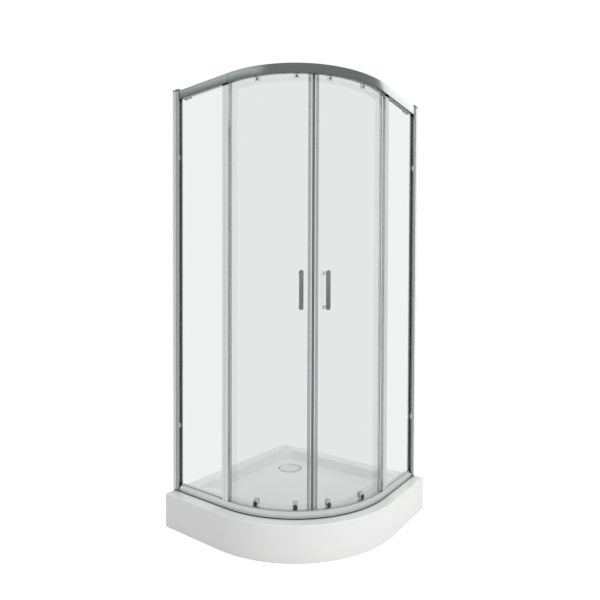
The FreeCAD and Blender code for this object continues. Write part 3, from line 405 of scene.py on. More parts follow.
# ---- Support board ---------------------------------------------------------------------------
# A chipboard panel bonded under the basin floor, with a hole for the waste; it carries the
# feet. Pressed flakes show on both faces.
chipboard, tree, shader = new_finish("chipboard", (0.5, 0.38, 0.24), roughness=0.8)
flakes = cells(tree, along(tree, (1.0, 2.2, 3.0)), 260.0)
flake = split_colour(tree, flakes["Color"])
feed(tree, two_tones(tree, flake[0], (0.28, 0.19, 0.11), (0.66, 0.52, 0.34)),
     shader, "Base Color")
feed(tree, ranged(tree, flake[1], 0.68, 0.9), shader, "Roughness")
relief(tree, shader, flakes["Distance"], depth=0.0006)
dress(chipboard, "tray_board")

# ---- Tray shell ------------------------------------------------------------------------------
# One vacuum-formed sheet of gloss white acrylic: apron, rim and basin. Its underside is
# strengthened with sprayed glass-fibre resin, which stays rough and yellowish.
gloss, resin_roughness = 0.13, 0.75
drift_scale, fibre_scale, wave_scale, peel_scale = 5.0, 90.0, 14.0, 160.0
peel_share, wave_depth = 0.06, 0.0006


def facing_up(tree):
    """How far a face looks upwards: 1 is straight up and -1 straight down."""
    faces = add(tree, "ShaderNodeTexCoord").outputs["Normal"]
    return add(tree, "ShaderNodeSeparateXYZ", {0: faces}).outputs["Z"]


acrylic, tree, shader = new_finish("gloss acrylic", (0.86, 0.86, 0.855), roughness=gloss)
feed(tree, 0.25, shader, "Coat Weight")
feed(tree, 0.05, shader, "Coat Roughness")
underside = below(tree, facing_up(tree), -0.35, soft=0.1)
fibres = cells(tree, along(tree, (1.0, 3.0, 1.0)), fibre_scale, feature="DISTANCE_TO_EDGE")
resin = two_tones(tree, below(tree, fibres["Distance"], 0.06, soft=0.06),
                  (0.58, 0.55, 0.44), (0.74, 0.72, 0.62))
drift = above(tree, noise(tree, along(tree), drift_scale), 0.5, soft=0.15)
sheet_tone = two_tones(tree, drift, (0.85, 0.85, 0.845), (0.87, 0.87, 0.865))
feed(tree, two_tones(tree, underside, sheet_tone, resin), shader, "Base Color")
feed(tree, ranged(tree, underside, gloss, resin_roughness), shader, "Roughness")
waves = noise(tree, along(tree), wave_scale, detail=1.0)
orange_peel = noise(tree, along(tree), peel_scale)
uneven = maths(tree, "MULTIPLY_ADD", orange_peel, peel_share, waves)
relief(tree, shader, uneven, wave_depth)
dress(acrylic, "tray_shell")

# ---- Waste -----------------------------------------------------------------------------------
# A chromed flange clamps the basin floor to a white polypropylene trap with a rubber gasket
# between them. The pressed cover lifts off for cleaning the dip tube.
drain = Vector((-0.245, 0.245, 0.0))
cover_bottom = 0.1098
cover_top = 0.1130
cover_steps = 96
merge_distance = 0.000002

# Glass and polished metal share faint smears and dried drops.
smear_scale, dry_share = 6.0, 0.8
drop_size, drop_edge = 0.13, 0.03
water_marks, given, made = effect_group("water marks", "Drops", 60.0, ["Smear", "Spots"])
smears = noise(water_marks, given["Vector"], smear_scale, detail=4.0, rough=0.6)
feed(water_marks, above(water_marks, smears, 0.6, soft=0.15), made, "Smear")
drops = cells(water_marks, given["Vector"], given["Drops"])
inside = below(water_marks, drops["Distance"], drop_size, soft=drop_edge)
chance = split_colour(water_marks, drops["Color"])[0]
few = maths(water_marks, "GREATER_THAN", chance, dry_share)
feed(water_marks, maths(water_marks, "MULTIPLY", inside, few), made, "Spots")


def polished(name, dark, light, roughness, drops=60.0):
    """Bright plated metal: a slow drift of tone, with smears and dried drops in its gloss."""
    finish, tree, shader = new_finish(name, light, roughness, metallic=1.0)
    marks = effect(tree, water_marks, along(tree), drops)
    feed(tree, two_tones(tree, marks["Smear"], light, dark), shader, "Base Color")
    dull = maths(tree, "MAXIMUM", marks["Smear"], marks["Spots"])
    feed(tree, ranged(tree, dull, roughness, roughness + 0.12), shader, "Roughness")
    return finish


bright_chrome = polished("bright chrome", (0.66, 0.67, 0.67), (0.74, 0.75, 0.75),
                         roughness=0.08)
# The flange is real chrome, darkened almost to black as a painted shadow for the gap round the
# cover.
painted_shadow_ring_chrome = polished("waste ring chrome", (0.10, 0.11, 0.11), (0.15, 0.16, 0.16),
                       roughness=0.12)
gasket_rubber = moulded("gasket rubber", (0.018, 0.02, 0.019), (0.035, 0.038, 0.036),
                        roughness=0.58, grain=1200.0)
trap_plastic = moulded("trap plastic", (0.76, 0.76, 0.75), (0.86, 0.86, 0.85),
                       roughness=0.36, grain=700.0)
dress(painted_shadow_ring_chrome, "waste_flange")
dress(gasket_rubber, "waste_gasket")
dress(trap_plastic, "waste_trap", "waste_dip_tube")


def finished(name, form, finish, body, stands_for):
    """Close a mesh off as a piece: doubles merged, normals outward, riding on its body."""
    bmesh.ops.remove_doubles(form, verts=form.verts, dist=merge_distance)
    bmesh.ops.recalc_face_normals(form, faces=form.faces)
    shape = bpy.data.meshes.new(name)
    form.to_mesh(shape)
    form.free()
    shape.materials.append(finish)
    piece = bpy.data.objects.new(name, shape)
    studio.collection.objects.link(piece)
    return settled(piece, body, stands_for)


# The UV map of a turned piece holds the turn, and the radius in centimetres.
centimetres = 100.0


def turned(form, outline, steps, placing):
    """Spin a closed (radius, height) outline about its axis."""
    wrap = form.loops.layers.uv.new("turned")
    rings = []
    for step in range(steps):
        turn = 2.0 * math.pi * step / steps
        rings.append([form.verts.new(placing @ Vector((r * math.cos(turn), r * math.sin(turn), h)))
                      for r, h in outline])
    for step in range(steps):
        here, after = rings[step], rings[(step + 1) % steps]
        for k in range(len(outline)):
            n = (k + 1) % len(outline)
            if outline[k][0] == 0.0 and outline[n][0] == 0.0:
                continue
            face = form.faces.new((here[k], here[n], after[n], after[k]))
            corners = (k, step), (n, step), (n, step + 1), (k, step + 1)
            for corner, (which, u) in zip(face.loops, corners):
                corner[wrap].uv = (u / steps, outline[which][0] * centimetres)


cover_outline = [
    (0.0, cover_top), (0.020, cover_top - 0.00005), (0.040, cover_top - 0.0002),
    (0.054, cover_top - 0.0005), (0.0580, cover_top - 0.0008), (0.0592, cover_top - 0.0013),
    (0.0598, cover_top - 0.0020), (0.0600, cover_bottom + 0.0004), (0.0596, cover_bottom),
    (0.0586, cover_bottom), (0.0584, cover_bottom + 0.0008), (0.0560, cover_bottom + 0.0012),
    (0.0372, cover_bottom + 0.0012), (0.0370, cover_bottom - 0.0066),
    (0.0366, cover_bottom - 0.0070), (0.0354, cover_bottom - 0.0070),
    (0.0350, cover_bottom - 0.0066), (0.0350, cover_bottom + 0.0012),
    (0.0, cover_bottom + 0.0014)]
cover_form = bmesh.new()
turned(cover_form, cover_outline, cover_steps, Matrix.Translation(drain))
finished("pressed_cover", cover_form, bright_chrome, "drain_cover", ["drain_cover"])

# ---- Seal under the rails and the two rails --------------------------------------------------
# A dark extruded rubber bead runs along the tray's rim. On it stands the bottom rail, and the
# posts carry the top rail. Both rails are aluminium extrusions bent to the curve.
curve_x, curve_y = -0.1, 0.1
face_radius = 0.5
rim_top, rail_base, slope_start, groove_floor, crest_top = 0.155, 0.160, 0.173, 0.182, 0.185
top_rail_bottom, leg_bottom, ledge_top, inner_lip = 1.980, 1.990, 1.992, 2.0025
skin_bottom, rail_top = 2.018, 2.020
wall, leg = 0.002, 0.0015
groove_start, groove_end, rail_depth, top_rail_depth = 0.010, 0.019, 0.034, 0.053
skin_inside, well_inside = face_radius - 0.0024, 0.3
# The first tone serves the dark joints and the painted shade along the top rail's edges; the
# second is painted light inside that rail.
joint_and_edge_shade_tone, inner_painted_light_tone, inner_dulling = (0.04, 0.048, 0.046), (0.62, 0.64, 0.635), 0.38
rail_end, seal_end = -0.405, -0.4495
bend_steps, ring_before_bend = 72, 0.08
corner_steps, edge_share = 4, 0.49


def rounded(corners):
    """A closed (depth, height, radius) outline with its corners rounded."""
    outline = []
    for k, (depth, height, radius) in enumerate(corners):
        here = Vector((depth, height))
        if radius == 0.0:
            outline.append(here)
            continue
        before = Vector(corners[k - 1][:2]) - here
        after = Vector(corners[(k + 1) % len(corners)][:2]) - here
        start = here + before.normalized() * min(radius, before.length * edge_share)
        end = here + after.normalized() * min(radius, after.length * edge_share)
        for step in range(corner_steps + 1):
            s = step / corner_steps
            outline.append(start * (1 - s) ** 2 + here * 2 * s * (1 - s) + end * s ** 2)
    return outline


def bent_rail(name, corners, end_x, finish, stands_for):
    """Run a section from the left end, round the curve and on to the right end."""
    outline = rounded(corners)
    form = bmesh.new()
    run = form.loops.layers.uv.new("run")
    around = [0.0]
    for k in range(len(outline)):
        around.append(around[-1] + (outline[(k + 1) % len(outline)] - outline[k]).length)
    stations = [("left", end_x), ("left", curve_x - ring_before_bend), ("left", curve_x)]
    stations += [("bend", -90.0 + 90.0 * step / bend_steps) for step in range(1, bend_steps + 1)]
    stations += [("right", curve_x - ring_before_bend), ("right", end_x)]
    rings, lengths = [], [0.0]
    for kind, value in stations:
        ring = []
        for depth, height in outline:
            if kind == "left":
                place = (value, curve_y - face_radius + depth, height)
            elif kind == "right":
                place = (-(curve_y - face_radius + depth), -value, height)
            else:
                turn = math.radians(value)
                place = (curve_x + (face_radius - depth) * math.cos(turn),
                         curve_y + (face_radius - depth) * math.sin(turn), height)
            ring.append(form.verts.new(place))
        if rings:
            lengths.append(lengths[-1] + (ring[0].co - rings[-1][0].co).length)
        rings.append(ring)
    for s in range(len(rings) - 1):
        for k in range(len(outline)):
            n = (k + 1) % len(outline)
            face = form.faces.new((rings[s][k], rings[s][n], rings[s + 1][n], rings[s + 1][k]))
            corners_of_face = (s, k), (s, k + 1), (s + 1, k + 1), (s + 1, k)
            for corner, (u, v) in zip(face.loops, corners_of_face):
                corner[run].uv = (lengths[u], around[v])
    form.faces.new(rings[0])
    form.faces.new(rings[-1])
    return finished(name, form, finish, "frame", stands_for)


# Extruded metal, plastic and rubber share fine lines that run with the extrusion.
band_share, line_depth = 0.12, 0.000012
extrusion_lines, given, made = effect_group("extrusion lines", "Fineness", 1500.0,
                                            ["Lines", "Bands"])
broader = maths(extrusion_lines, "MULTIPLY", given["Fineness"], band_share)
feed(extrusion_lines, noise(extrusion_lines, given["Vector"], given["Fineness"], detail=3.0,
                            rough=0.6), made, "Lines")
bands = noise(extrusion_lines, given["Vector"], broader)
feed(extrusion_lines, above(extrusion_lines, bands, 0.5, soft=0.2), made, "Bands")


def across(tree, uv_map):
    """A vector that changes only with the second part of a piece's own UV map."""
    wrap = result(tree, "ShaderNodeUVMap", uv_map=uv_map)
    return result(tree, "ShaderNodeMapping", {"Vector": wrap, "Scale": (0.0, 1.0, 0.0)})


def across_the_rail(tree):
    """A vector that changes only round a rail's section."""
    return across(tree, "run")


def extruded(name, dark, light, roughness, metallic, vector_of, fineness=1500.0):
    """Extruded stock: bands of tone and fine lines along its length."""
    finish, tree, shader = new_finish(name, light, roughness, metallic)
    lines = effect(tree, extrusion_lines, vector_of(tree), fineness)
    feed(tree, two_tones(tree, lines["Bands"], dark, light), shader, "Base Color")
    feed(tree, ranged(tree, lines["Lines"], roughness - 0.04, roughness + 0.08),
         shader, "Roughness")
    relief(tree, shader, lines["Lines"], line_depth)
    return finish, tree, shader


def read_by(shader, label):
    """The socket that a shader's input reads so far."""
    return shader.inputs[label].links[0].from_socket


def place_parts(tree):
    """The piece's own place, split into X, Y and Z."""
    return add(tree, "ShaderNodeSeparateXYZ", {0: along(tree)}).outputs


def side_reach(tree):
    """How far a point lies towards its nearer wall, the same for the left and the right side."""
    place = place_parts(tree)
    return maths(tree, "MAXIMUM", maths(tree, "MULTIPLY", place["X"], -1.0), place["Y"])


def outer_reach(tree):
    """Distance from the curve's axis, measured square to the straight parts beyond its ends."""
    place = place_parts(tree)
    beyond_x = maths(tree, "MAXIMUM", maths(tree, "SUBTRACT", place["X"], curve_x), 0.0)
    beyond_y = maths(tree, "MINIMUM", maths(tree, "SUBTRACT", place["Y"], curve_y), 0.0)
    flat = result(tree, "ShaderNodeCombineXYZ", {"X": beyond_x, "Y": beyond_y})
    return add(tree, "ShaderNodeVectorMath", {0: flat}, operation="LENGTH").outputs["Value"]


def between(tree, value, low, high, soft=0.0003):
    """1 where a value lies between two limits, 0 elsewhere, with soft edges."""
    return maths(tree, "MULTIPLY", above(tree, value, low, soft), below(tree, value, high, soft))


seal_rubber = extruded("rail seal rubber", (0.010, 0.014, 0.013), (0.022, 0.028, 0.026),
                       roughness=0.5, metallic=0.0, vector_of=across_the_rail, fineness=900.0)[0]
seal_section = [
    (0.0002, rim_top + 0.0002, 0.0004), (0.0002, 0.1588, 0.001), (0.0012, rail_base, 0.0004),
    (0.032, rail_base, 0.0006), (0.032, rim_top, 0.0006), (0.0012, rim_top, 0.0004)]
bent_rail("rim_seal", seal_section, seal_end, seal_rubber, ["base_seal"])

bright_rail = extruded("silver anodised rail", (0.53, 0.55, 0.545), (0.61, 0.63, 0.625),
                       roughness=0.24, metallic=1.0, vector_of=across_the_rail)[0]
bottom_section = [
    (0.0, rail_base, 0.0004), (0.0, slope_start, 0.0018), (groove_start, crest_top, 0.0012),
    (groove_start, groove_floor, 0), (groove_end, groove_floor, 0),
    (groove_end, crest_top, 0.0005), (rail_depth, crest_top, 0.0008),
    (rail_depth, rail_base, 0.0004), (rail_depth - wall, rail_base, 0),
    (rail_depth - wall, crest_top - wall, 0), (groove_end + wall, crest_top - wall, 0),
    (groove_end + wall, groove_floor - wall, 0), (groove_start - wall, groove_floor - wall, 0),
    (wall, slope_start - 0.0005, 0), (wall, rail_base, 0)]
bent_rail("bent_bottom_rail", bottom_section, rail_end, bright_rail, ["bottom_rail"])

grey_rail, tree, shader = extruded(
    "grey anodised rail", (0.125, 0.142, 0.137), (0.15, 0.168, 0.163),
    roughness=0.2, metallic=1.0, vector_of=across_the_rail)
height = place_parts(tree)["Z"]
# Painted shade lines run along its lower and upper edges, and dark lines run down the joints where
# its bend begins.
painted_edge_shade = maths(tree, "MAXIMUM",
                   between(tree, height, top_rail_bottom - 0.001, top_rail_bottom + 0.0012),
                   between(tree, height, rail_top - 0.0014, rail_top - 0.0002))
joint_lines = between(tree, side_reach(tree), -curve_x - 0.0015, -curve_x + 0.0005)
outside = two_tones(tree, maths(tree, "MAXIMUM", painted_edge_shade, joint_lines),
                    read_by(shader, "Base Color"), joint_and_edge_shade_tone)
# Inside, under its top skin, the metal is painted paler, a painted light against the shade there,
# and is duller.
# Painted light: the faces inside the rail, which lie in shade, get a paler tone.
within = between(tree, outer_reach(tree), well_inside, skin_inside)
painted_inner_light = maths(tree, "MULTIPLY", within, below(tree, height, skin_bottom, soft=0.0002))
feed(tree, two_tones(tree, painted_inner_light, outside, inner_painted_light_tone), shader, "Base Color")
feed(tree, maths(tree, "MULTIPLY_ADD", painted_inner_light, inner_dulling, read_by(shader, "Roughness")),
     shader, "Roughness")
top_section = [
    (0.0, top_rail_bottom, 0.0007), (wall, top_rail_bottom, 0.0007), (wall, skin_bottom, 0),
    (groove_start - leg, skin_bottom, 0), (groove_start - leg, leg_bottom, 0.0003),
    (groove_start, leg_bottom, 0.0003), (groove_start, skin_bottom, 0),
    (groove_end, skin_bottom, 0), (groove_end, leg_bottom, 0.0003),
    (rail_depth, leg_bottom, 0.0005), (rail_depth, ledge_top, 0.0005),
    (groove_end + leg, ledge_top, 0), (groove_end + leg, skin_bottom, 0),
    (top_rail_depth - wall, skin_bottom, 0), (top_rail_depth - wall, inner_lip, 0.0007),
    (top_rail_depth, inner_lip, 0.0007), (top_rail_depth, rail_top, 0.0016),
    (0.0, rail_top, 0.0016)]
top_rail_piece = bent_rail("bent_top_rail", top_section, rail_end, grey_rail, ["top_rail"])

# The two high strip lamps light only this rail, whose gloss they model.
strip_lit = bpy.data.collections.new("strip lit")
strip_lit.objects.link(top_rail_piece)
for lamp_name in ("high_left_strip", "high_right_strip"):
    bpy.data.objects[lamp_name].light_linking.receiver_collection = strip_lit

# ---- Wall channels and side posts ------------------------------------------------------------
# White powder-coated channels are screwed to the room's walls. The hollow silver posts slide
# in them, so that walls out of true are taken up, and are then held by the adjusting screws.
post_front_edge = 0.4195
# Where the painted dark reflection strip lies on each post, and its tone.
post_reflection_inside, post_reflection_outside = 0.4901, 0.4955
post_reflection_tone = (0.10, 0.125, 0.117)


def upright(tree):
    """A vector that changes only across an upright piece."""
    return along(tree, (1.0, 1.0, 0.0))


powder_coat = moulded("white powder coat", (0.84, 0.845, 0.84), (0.88, 0.885, 0.88),
                      roughness=0.34, grain=700.0, depth=0.00006)
dress(powder_coat, "wall_channel_left", "wall_channel_right")

silver_post, tree, shader = extruded(
    "silver anodised post", (0.31, 0.33, 0.325), (0.36, 0.38, 0.375),
    roughness=0.24, metallic=1.0, vector_of=upright)
# A dark strip, a painted reflection, runs down the post beside the pane.
near_pane = below(tree, side_reach(tree), post_front_edge, soft=0.0003)
near_front = between(tree, outer_reach(tree), post_reflection_inside, post_reflection_outside)
painted_reflection_strip = maths(tree, "MULTIPLY", near_pane, near_front)
feed(tree, two_tones(tree, painted_reflection_strip, read_by(shader, "Base Color"), post_reflection_tone),
     shader, "Base Color")
dress(silver_post, "side_post_left", "side_post_right")

cap_plastic = moulded("post cap plastic", (0.05, 0.06, 0.057), (0.085, 0.097, 0.092),
                      roughness=0.4, grain=1100.0)
dress(cap_plastic, "post_caps")
screw_chrome = polished("screw cap chrome", (0.6, 0.62, 0.61), (0.74, 0.75, 0.75),
                        roughness=0.1, drops=90.0)
dress(screw_chrome, "adjusting_screws")

# ---- Rail end brackets, their screws and the door stops --------------------------------------
# Moulded nylon brackets, black but for their pale part inside the top rail, key the rails to
# the posts. That pale part is made paler still, painted light against the shade under the rail.
# Cross-head screws from the shower side hold them, and rubber blocks stop the doors.
cross_size, cross_width, cross_height, cross_place = 0.0036, 0.0008, 0.0016, 0.0017
under_block, under_place = (0.02, 0.02, 0.01), -0.005


def upper_half(tree):
    """1 on what belongs to the top rail, 0 on what belongs to the bottom rail."""
    return above(tree, place_parts(tree)["Z"], 1.0, soft=0.01)


nylon, tree, shader, skin = grained("bracket nylon", (0.04, 0.047, 0.045), roughness=0.42,
                                    grain=1000.0)
black_nylon = two_tones(tree, skin["Tone"], (0.022, 0.027, 0.025), (0.042, 0.05, 0.047))
# Pale nylon, lightened further as painted light against the shade under the top rail.
pale_shade_lifted_nylon = two_tones(tree, skin["Tone"], (0.70, 0.715, 0.71), (0.78, 0.795, 0.79))
inside_rail = below(tree, side_reach(tree), -rail_end, soft=0.0002)
painted_light_part = maths(tree, "MULTIPLY", upper_half(tree), inside_rail)
feed(tree, two_tones(tree, painted_light_part, black_nylon, pale_shade_lifted_nylon), shader, "Base Color")
feed(tree, ranged(tree, skin["Height"], 0.34, 0.5), shader, "Roughness")
relief(tree, shader, skin["Height"], depth=0.0001)
stop_rubber = moulded("stop rubber", (0.42, 0.43, 0.43), (0.5, 0.51, 0.51),
                      roughness=0.6, grain=1300.0)
dress(nylon, "rail_brackets")
dress(stop_rubber, "door_stops")

screw_rule, entry, leave = rule_tree("cross-head screw", [
    ("Head Radius", "Float"), ("Head Height", "Float"), ("Shank Radius", "Float"),
    ("Shank Length", "Float"), ("Turn", "Vector")])
head = result(screw_rule, "GeometryNodeMeshUVSphere", {
    "Segments": 32, "Rings": 16, "Radius": entry["Head Radius"]})
flatter = maths(screw_rule, "DIVIDE", entry["Head Height"], entry["Head Radius"])
squash = result(screw_rule, "ShaderNodeCombineXYZ", {"X": 1.0, "Y": 1.0, "Z": flatter})
dome = moved(screw_rule, head, Scale=squash)
cutters = []
for size, height in (((cross_size, cross_width, cross_height), cross_place),
                     ((cross_width, cross_size, cross_height), cross_place),
                     (under_block, under_place)):
    block = result(screw_rule, "GeometryNodeMeshCube", {"Size": size})
    cutters.append(moved(screw_rule, block, Translation=(0.0, 0.0, height)))
recessed = result(screw_rule, "GeometryNodeMeshBoolean", {
    "Mesh 1": dome, "Mesh 2": joined(screw_rule, *cutters)}, operation="DIFFERENCE")
shank = result(screw_rule, "GeometryNodeMeshCylinder", {
    "Vertices": 20, "Radius": entry["Shank Radius"], "Depth": entry["Shank Length"]})
half_down = raised_by(screw_rule, maths(screw_rule, "DIVIDE", entry["Shank Length"], -2.0))
lowered = moved(screw_rule, shank, Translation=half_down)
screw = joined(screw_rule, recessed, lowered)
set_on_points(screw_rule, entry, moved(screw_rule, screw, Rotation=entry["Turn"]), leave)
screw_x = rail_end + 0.015
screw_seats = [(screw_x, -0.347, 2.01025), (screw_x, -0.366, 0.1725)]
screw_sizes = {"Head_Radius": 0.0036, "Head_Height": 0.0018, "Shank_Radius": 0.0018,
               "Shank_Length": 0.009, "Finish": zinc}
grown("left_frame_screws", screw_seats, screw_rule, "frame", ["frame_screws"], "zinc_steel",
      Turn=(-math.pi / 2, 0.0, 0.0), **screw_sizes)
grown("right_frame_screws", [(-y, -x, z) for x, y, z in screw_seats], screw_rule, "frame",
      ["frame_screws"], "zinc_steel", Turn=(0.0, -math.pi / 2, 0.0), **screw_sizes)

# ---- Fixed panes with their seals and jamb profiles ------------------------------------------
# Flat panes of toughened glass sit in dark U-shaped seals in the post and rails. Their free
# edges are clamped in silver jamb profiles. Cut edges of the glass show green.
pane_start, pane_end = 0.146, 0.402
glass_drops, spot_share, smear_roughness = 45.0, 0.97, 0.012


def see_through(finish, shader, tint):
    """Let light pass for clear plastic or glass, so that what stands behind it is lit."""
    tree = finish.node_tree
    feed(tree, 1.0, shader, "Transmission Weight")
    clear = result(tree, "ShaderNodeBsdfTransparent", {"Color": (*tint, 1)})
    ray = add(tree, "ShaderNodeLightPath").outputs
    let_through = result(tree, "ShaderNodeMixShader", {
        "Fac": ray["Is Shadow Ray"], 1: shader.outputs[0], 2: clear})
    feed(tree, let_through, tree.nodes["Material Output"], "Surface")


def clear_glass(name, body_tint, edge_tint):
    """Toughened glass: a faint tint, greener on the cut edges, with a few dried drops."""
    finish, tree, shader = new_finish(name, body_tint, roughness=0.0)
    feed(tree, 1.5, shader, "IOR")
    cut_edge = above(tree, maths(tree, "ABSOLUTE", facing_up(tree)), 0.7, soft=0.1)
    marks = effect(tree, water_marks, along(tree), glass_drops)
    spotted = tuple(part * spot_share for part in body_tint)
    tinted = two_tones(tree, marks["Spots"], body_tint, spotted)
    feed(tree, two_tones(tree, cut_edge, tinted, edge_tint), shader, "Base Color")
    feed(tree, ranged(tree, marks["Smear"], 0.0, smear_roughness), shader, "Roughness")
    see_through(finish, shader, body_tint)
    return finish


pane_glass = clear_glass("fixed pane glass", (0.86, 0.875, 0.87), (0.35, 0.62, 0.52))
dress(pane_glass, "fixed_glass_left", "fixed_glass_right")
glazing_rubber, tree, shader = extruded(
    "glazing rubber", (0.014, 0.018, 0.017), (0.032, 0.038, 0.036),
    roughness=0.55, metallic=0.0, vector_of=upright)
# Only the upright runs of the seals are dark; those in the rails take on the rails' grey.
rail_runs = between(tree, side_reach(tree), pane_start, pane_end, soft=0.0006)
feed(tree, two_tones(tree, rail_runs, read_by(shader, "Base Color"), (0.5, 0.52, 0.515)),
     shader, "Base Color")
dress(glazing_rubber, "glazing_gaskets")
silver_jamb = extruded("silver anodised jamb", (0.56, 0.58, 0.575), (0.66, 0.68, 0.675),
                       roughness=0.18, metallic=1.0, vector_of=upright)[0]
dress(silver_jamb, "jamb_profile_left", "jamb_profile_right")

# ---- Door panes, edge profiles and seals -----------------------------------------------------
# Curved toughened panes. Clear plastic profiles are pushed over their edges: the closing ones
# carry dark magnetic strips that meet in the middle, the rear ones a fin against the jamb.
door_glass = clear_glass("curved door glass", (0.77, 0.79, 0.785), (0.33, 0.6, 0.5))
dress(door_glass, "door_glass_left", "door_glass_right")
profile_plastic, tree, shader = extruded(
    "clear profile plastic", (0.64, 0.66, 0.655), (0.74, 0.76, 0.755),
    roughness=0.14, metallic=0.0, vector_of=upright)
see_through(profile_plastic, shader, (0.7, 0.72, 0.715))
dress(profile_plastic, "closing_profile_left", "closing_profile_right", "rear_profile_left",
      "rear_profile_right")
magnet_rubber = extruded("magnet strip rubber", (0.12, 0.13, 0.127), (0.17, 0.18, 0.177),
                         roughness=0.48, metallic=0.0, vector_of=upright)[0]
dress(magnet_rubber, "magnetic_seal_left", "magnetic_seal_right")

# ---- Handles ---------------------------------------------------------------------------------
# Polished bars with round ends stand off the glass on two posts, which are bolted through it
# to flat caps on the shower side.
handle_chrome = polished("handle chrome", (0.15, 0.17, 0.163), (0.21, 0.23, 0.223),
                         roughness=0.14, drops=80.0)
dress(handle_chrome, "handle_bar_left", "handle_bar_right")
dress(bright_chrome, "handle_fixings_left", "handle_fixings_right")

# ---- Roller carriers, clamp pins and release buttons -----------------------------------------
# Light moulded carriers are clamped to the glass by capped pins, clear ones with dark caps at
# the top and grey ones with pale caps below. A grey button frees each lower one from its rail.
axle_start = 0.4686
carrier_plastic, tree, shader, skin = grained("carrier plastic", (0.66, 0.68, 0.67),
                                              roughness=0.36, grain=1100.0)
body_tone = two_tones(tree, skin["Tone"], (0.55, 0.57, 0.56), (0.66, 0.68, 0.67))
axle = above(tree, outer_reach(tree), axle_start, soft=0.0002)
feed(tree, two_tones(tree, axle, body_tone, (0.05, 0.053, 0.052)), shader, "Base Color")
feed(tree, ranged(tree, skin["Height"], 0.3, 0.44), shader, "Roughness")
relief(tree, shader, skin["Height"], depth=0.0001)
dress(carrier_plastic, "bottom_guides_left", "bottom_guides_right")

hanger_plastic, tree, shader, skin = grained("clear hanger plastic", (0.84, 0.86, 0.855),
                                             roughness=0.18, grain=900.0)
feed(tree, two_tones(tree, skin["Tone"], (0.8, 0.82, 0.815), (0.88, 0.9, 0.895)),
     shader, "Base Color")
feed(tree, ranged(tree, skin["Height"], 0.12, 0.28), shader, "Roughness")
see_through(hanger_plastic, shader, (0.84, 0.86, 0.855))
dress(hanger_plastic, "top_hangers_left", "top_hangers_right")

pin_plastic, tree, shader, skin = grained("pin cap plastic", (0.09, 0.098, 0.095),
                                          roughness=0.4, grain=1200.0)
dark_cap = two_tones(tree, skin["Tone"], (0.13, 0.14, 0.137), (0.19, 0.2, 0.197))
pale_cap = two_tones(tree, skin["Tone"], (0.5, 0.52, 0.51), (0.6, 0.62, 0.61))
feed(tree, two_tones(tree, upper_half(tree), pale_cap, dark_cap), shader, "Base Color")
feed(tree, ranged(tree, skin["Height"], 0.32, 0.48), shader, "Roughness")
relief(tree, shader, skin["Height"], depth=0.00008)
dress(pin_plastic, "clamp_pins_left", "clamp_pins_right")
button_plastic = moulded("button plastic", (0.34, 0.35, 0.36), (0.44, 0.45, 0.46),
                         roughness=0.4, grain=1200.0)
for side in ("left", "right"):
    dress(button_plastic, "release_button_lead_" + side, "release_button_trail_" + side)

# ---- Rollers ---------------------------------------------------------------------------------
# Each roller is a dark acetal tyre turned with a shallow groove, pressed on a ball race that
# turns on the carrier's axle. Eight of them carry and guide the two doors.
wheel_radius, wheel_width, wheel_inner, wheel_steps = 0.009, 0.0045, 0.4685, 40
bore_radius, race_radius = 0.00255, 0.0065
ball_count, ball_ring, ball_radius = 8, 0.00525, 0.0011
axle_over_track = 0.0093
middle_angle, lead_offset, trail_offset = -45.0, 8.8, 30.0

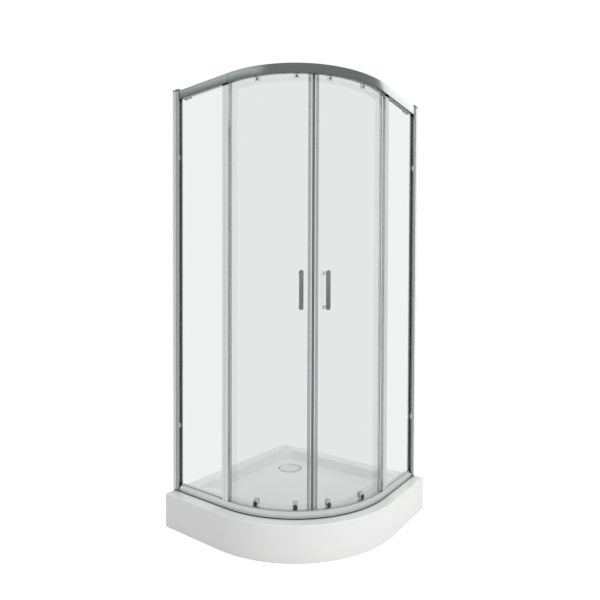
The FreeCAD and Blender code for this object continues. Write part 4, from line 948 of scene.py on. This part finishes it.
wheel_finish, tree, shader = new_finish("acetal and race steel", (0.03, 0.03, 0.03),
                                        roughness=0.35)
circles = across(tree, "turned")
radius = add(tree, "ShaderNodeSeparateXYZ", {0: circles}).outputs["Y"]
race = below(tree, radius, race_radius * centimetres, soft=0.01)
turning_lines = noise(tree, circles, 60.0, detail=3.0)
tyre_tone = two_tones(tree, turning_lines, (0.018, 0.02, 0.02), (0.05, 0.053, 0.052))
feed(tree, two_tones(tree, race, tyre_tone, (0.07, 0.077, 0.075)), shader, "Base Color")
feed(tree, race, shader, "Metallic")
feed(tree, ranged(tree, turning_lines, 0.26, 0.48), shader, "Roughness")
relief(tree, shader, turning_lines, depth=0.00008)
ball_steel = polished("ball steel", (0.28, 0.29, 0.29), (0.36, 0.37, 0.37),
                      roughness=0.1, drops=200.0)

outer_half = [
    (bore_radius, 0.0002), (bore_radius + 0.0002, 0.0), (0.0039, 0.0), (0.0041, 0.0002),
    (0.0041, 0.0016), (0.0064, 0.0016), (0.0064, 0.0002), (0.0066, 0.0), (0.0084, 0.0),
    (0.0088, 0.00015), (wheel_radius, 0.0005), (wheel_radius, 0.0013), (0.0086, 0.0018)]
wheel_outline = outer_half + [(r, wheel_width - h) for r, h in reversed(outer_half)]

ball_rule, entry, leave = rule_tree("race balls", [("Ball Radius", "Float")])
ball = result(ball_rule, "GeometryNodeMeshUVSphere", {
    "Segments": 16, "Rings": 8, "Radius": entry["Ball Radius"]})
set_on_points(ball_rule, entry, ball, leave)

for side, way in (("left", -1), ("right", 1)):
    for place, offset in (("lead", lead_offset), ("trail", trail_offset)):
        angle = math.radians(middle_angle + way * offset)
        outward = Vector((math.cos(angle), math.sin(angle), 0.0))
        sideways = Vector((-math.sin(angle), math.cos(angle), 0.0))
        for level, track in (("top", ledge_top), ("bottom", crest_top)):
            centre = Vector((curve_x, curve_y, track + axle_over_track)) + outward * wheel_inner
            placing = Matrix((
                (sideways.x, 0.0, outward.x, centre.x),
                (sideways.y, 0.0, outward.y, centre.y),
                (sideways.z, 1.0, outward.z, centre.z),
                (0.0, 0.0, 0.0, 1.0)))
            node = level + "_wheel_" + place + "_" + side
            wheel_form = bmesh.new()
            turned(wheel_form, wheel_outline, wheel_steps, placing)
            finished(level + "_roller_" + place + "_" + side, wheel_form, wheel_finish, node,
                     [node])
            seats = []
            for k in range(ball_count):
                turn = 2.0 * math.pi * k / ball_count
                seats.append(tuple(placing @ Vector((ball_ring * math.cos(turn),
                                                     ball_ring * math.sin(turn),
                                                     wheel_width / 2))))
            grown(level + "_balls_" + place + "_" + side, seats, ball_rule, node, [],
                  "zinc_steel", Ball_Radius=ball_radius, Finish=ball_steel)
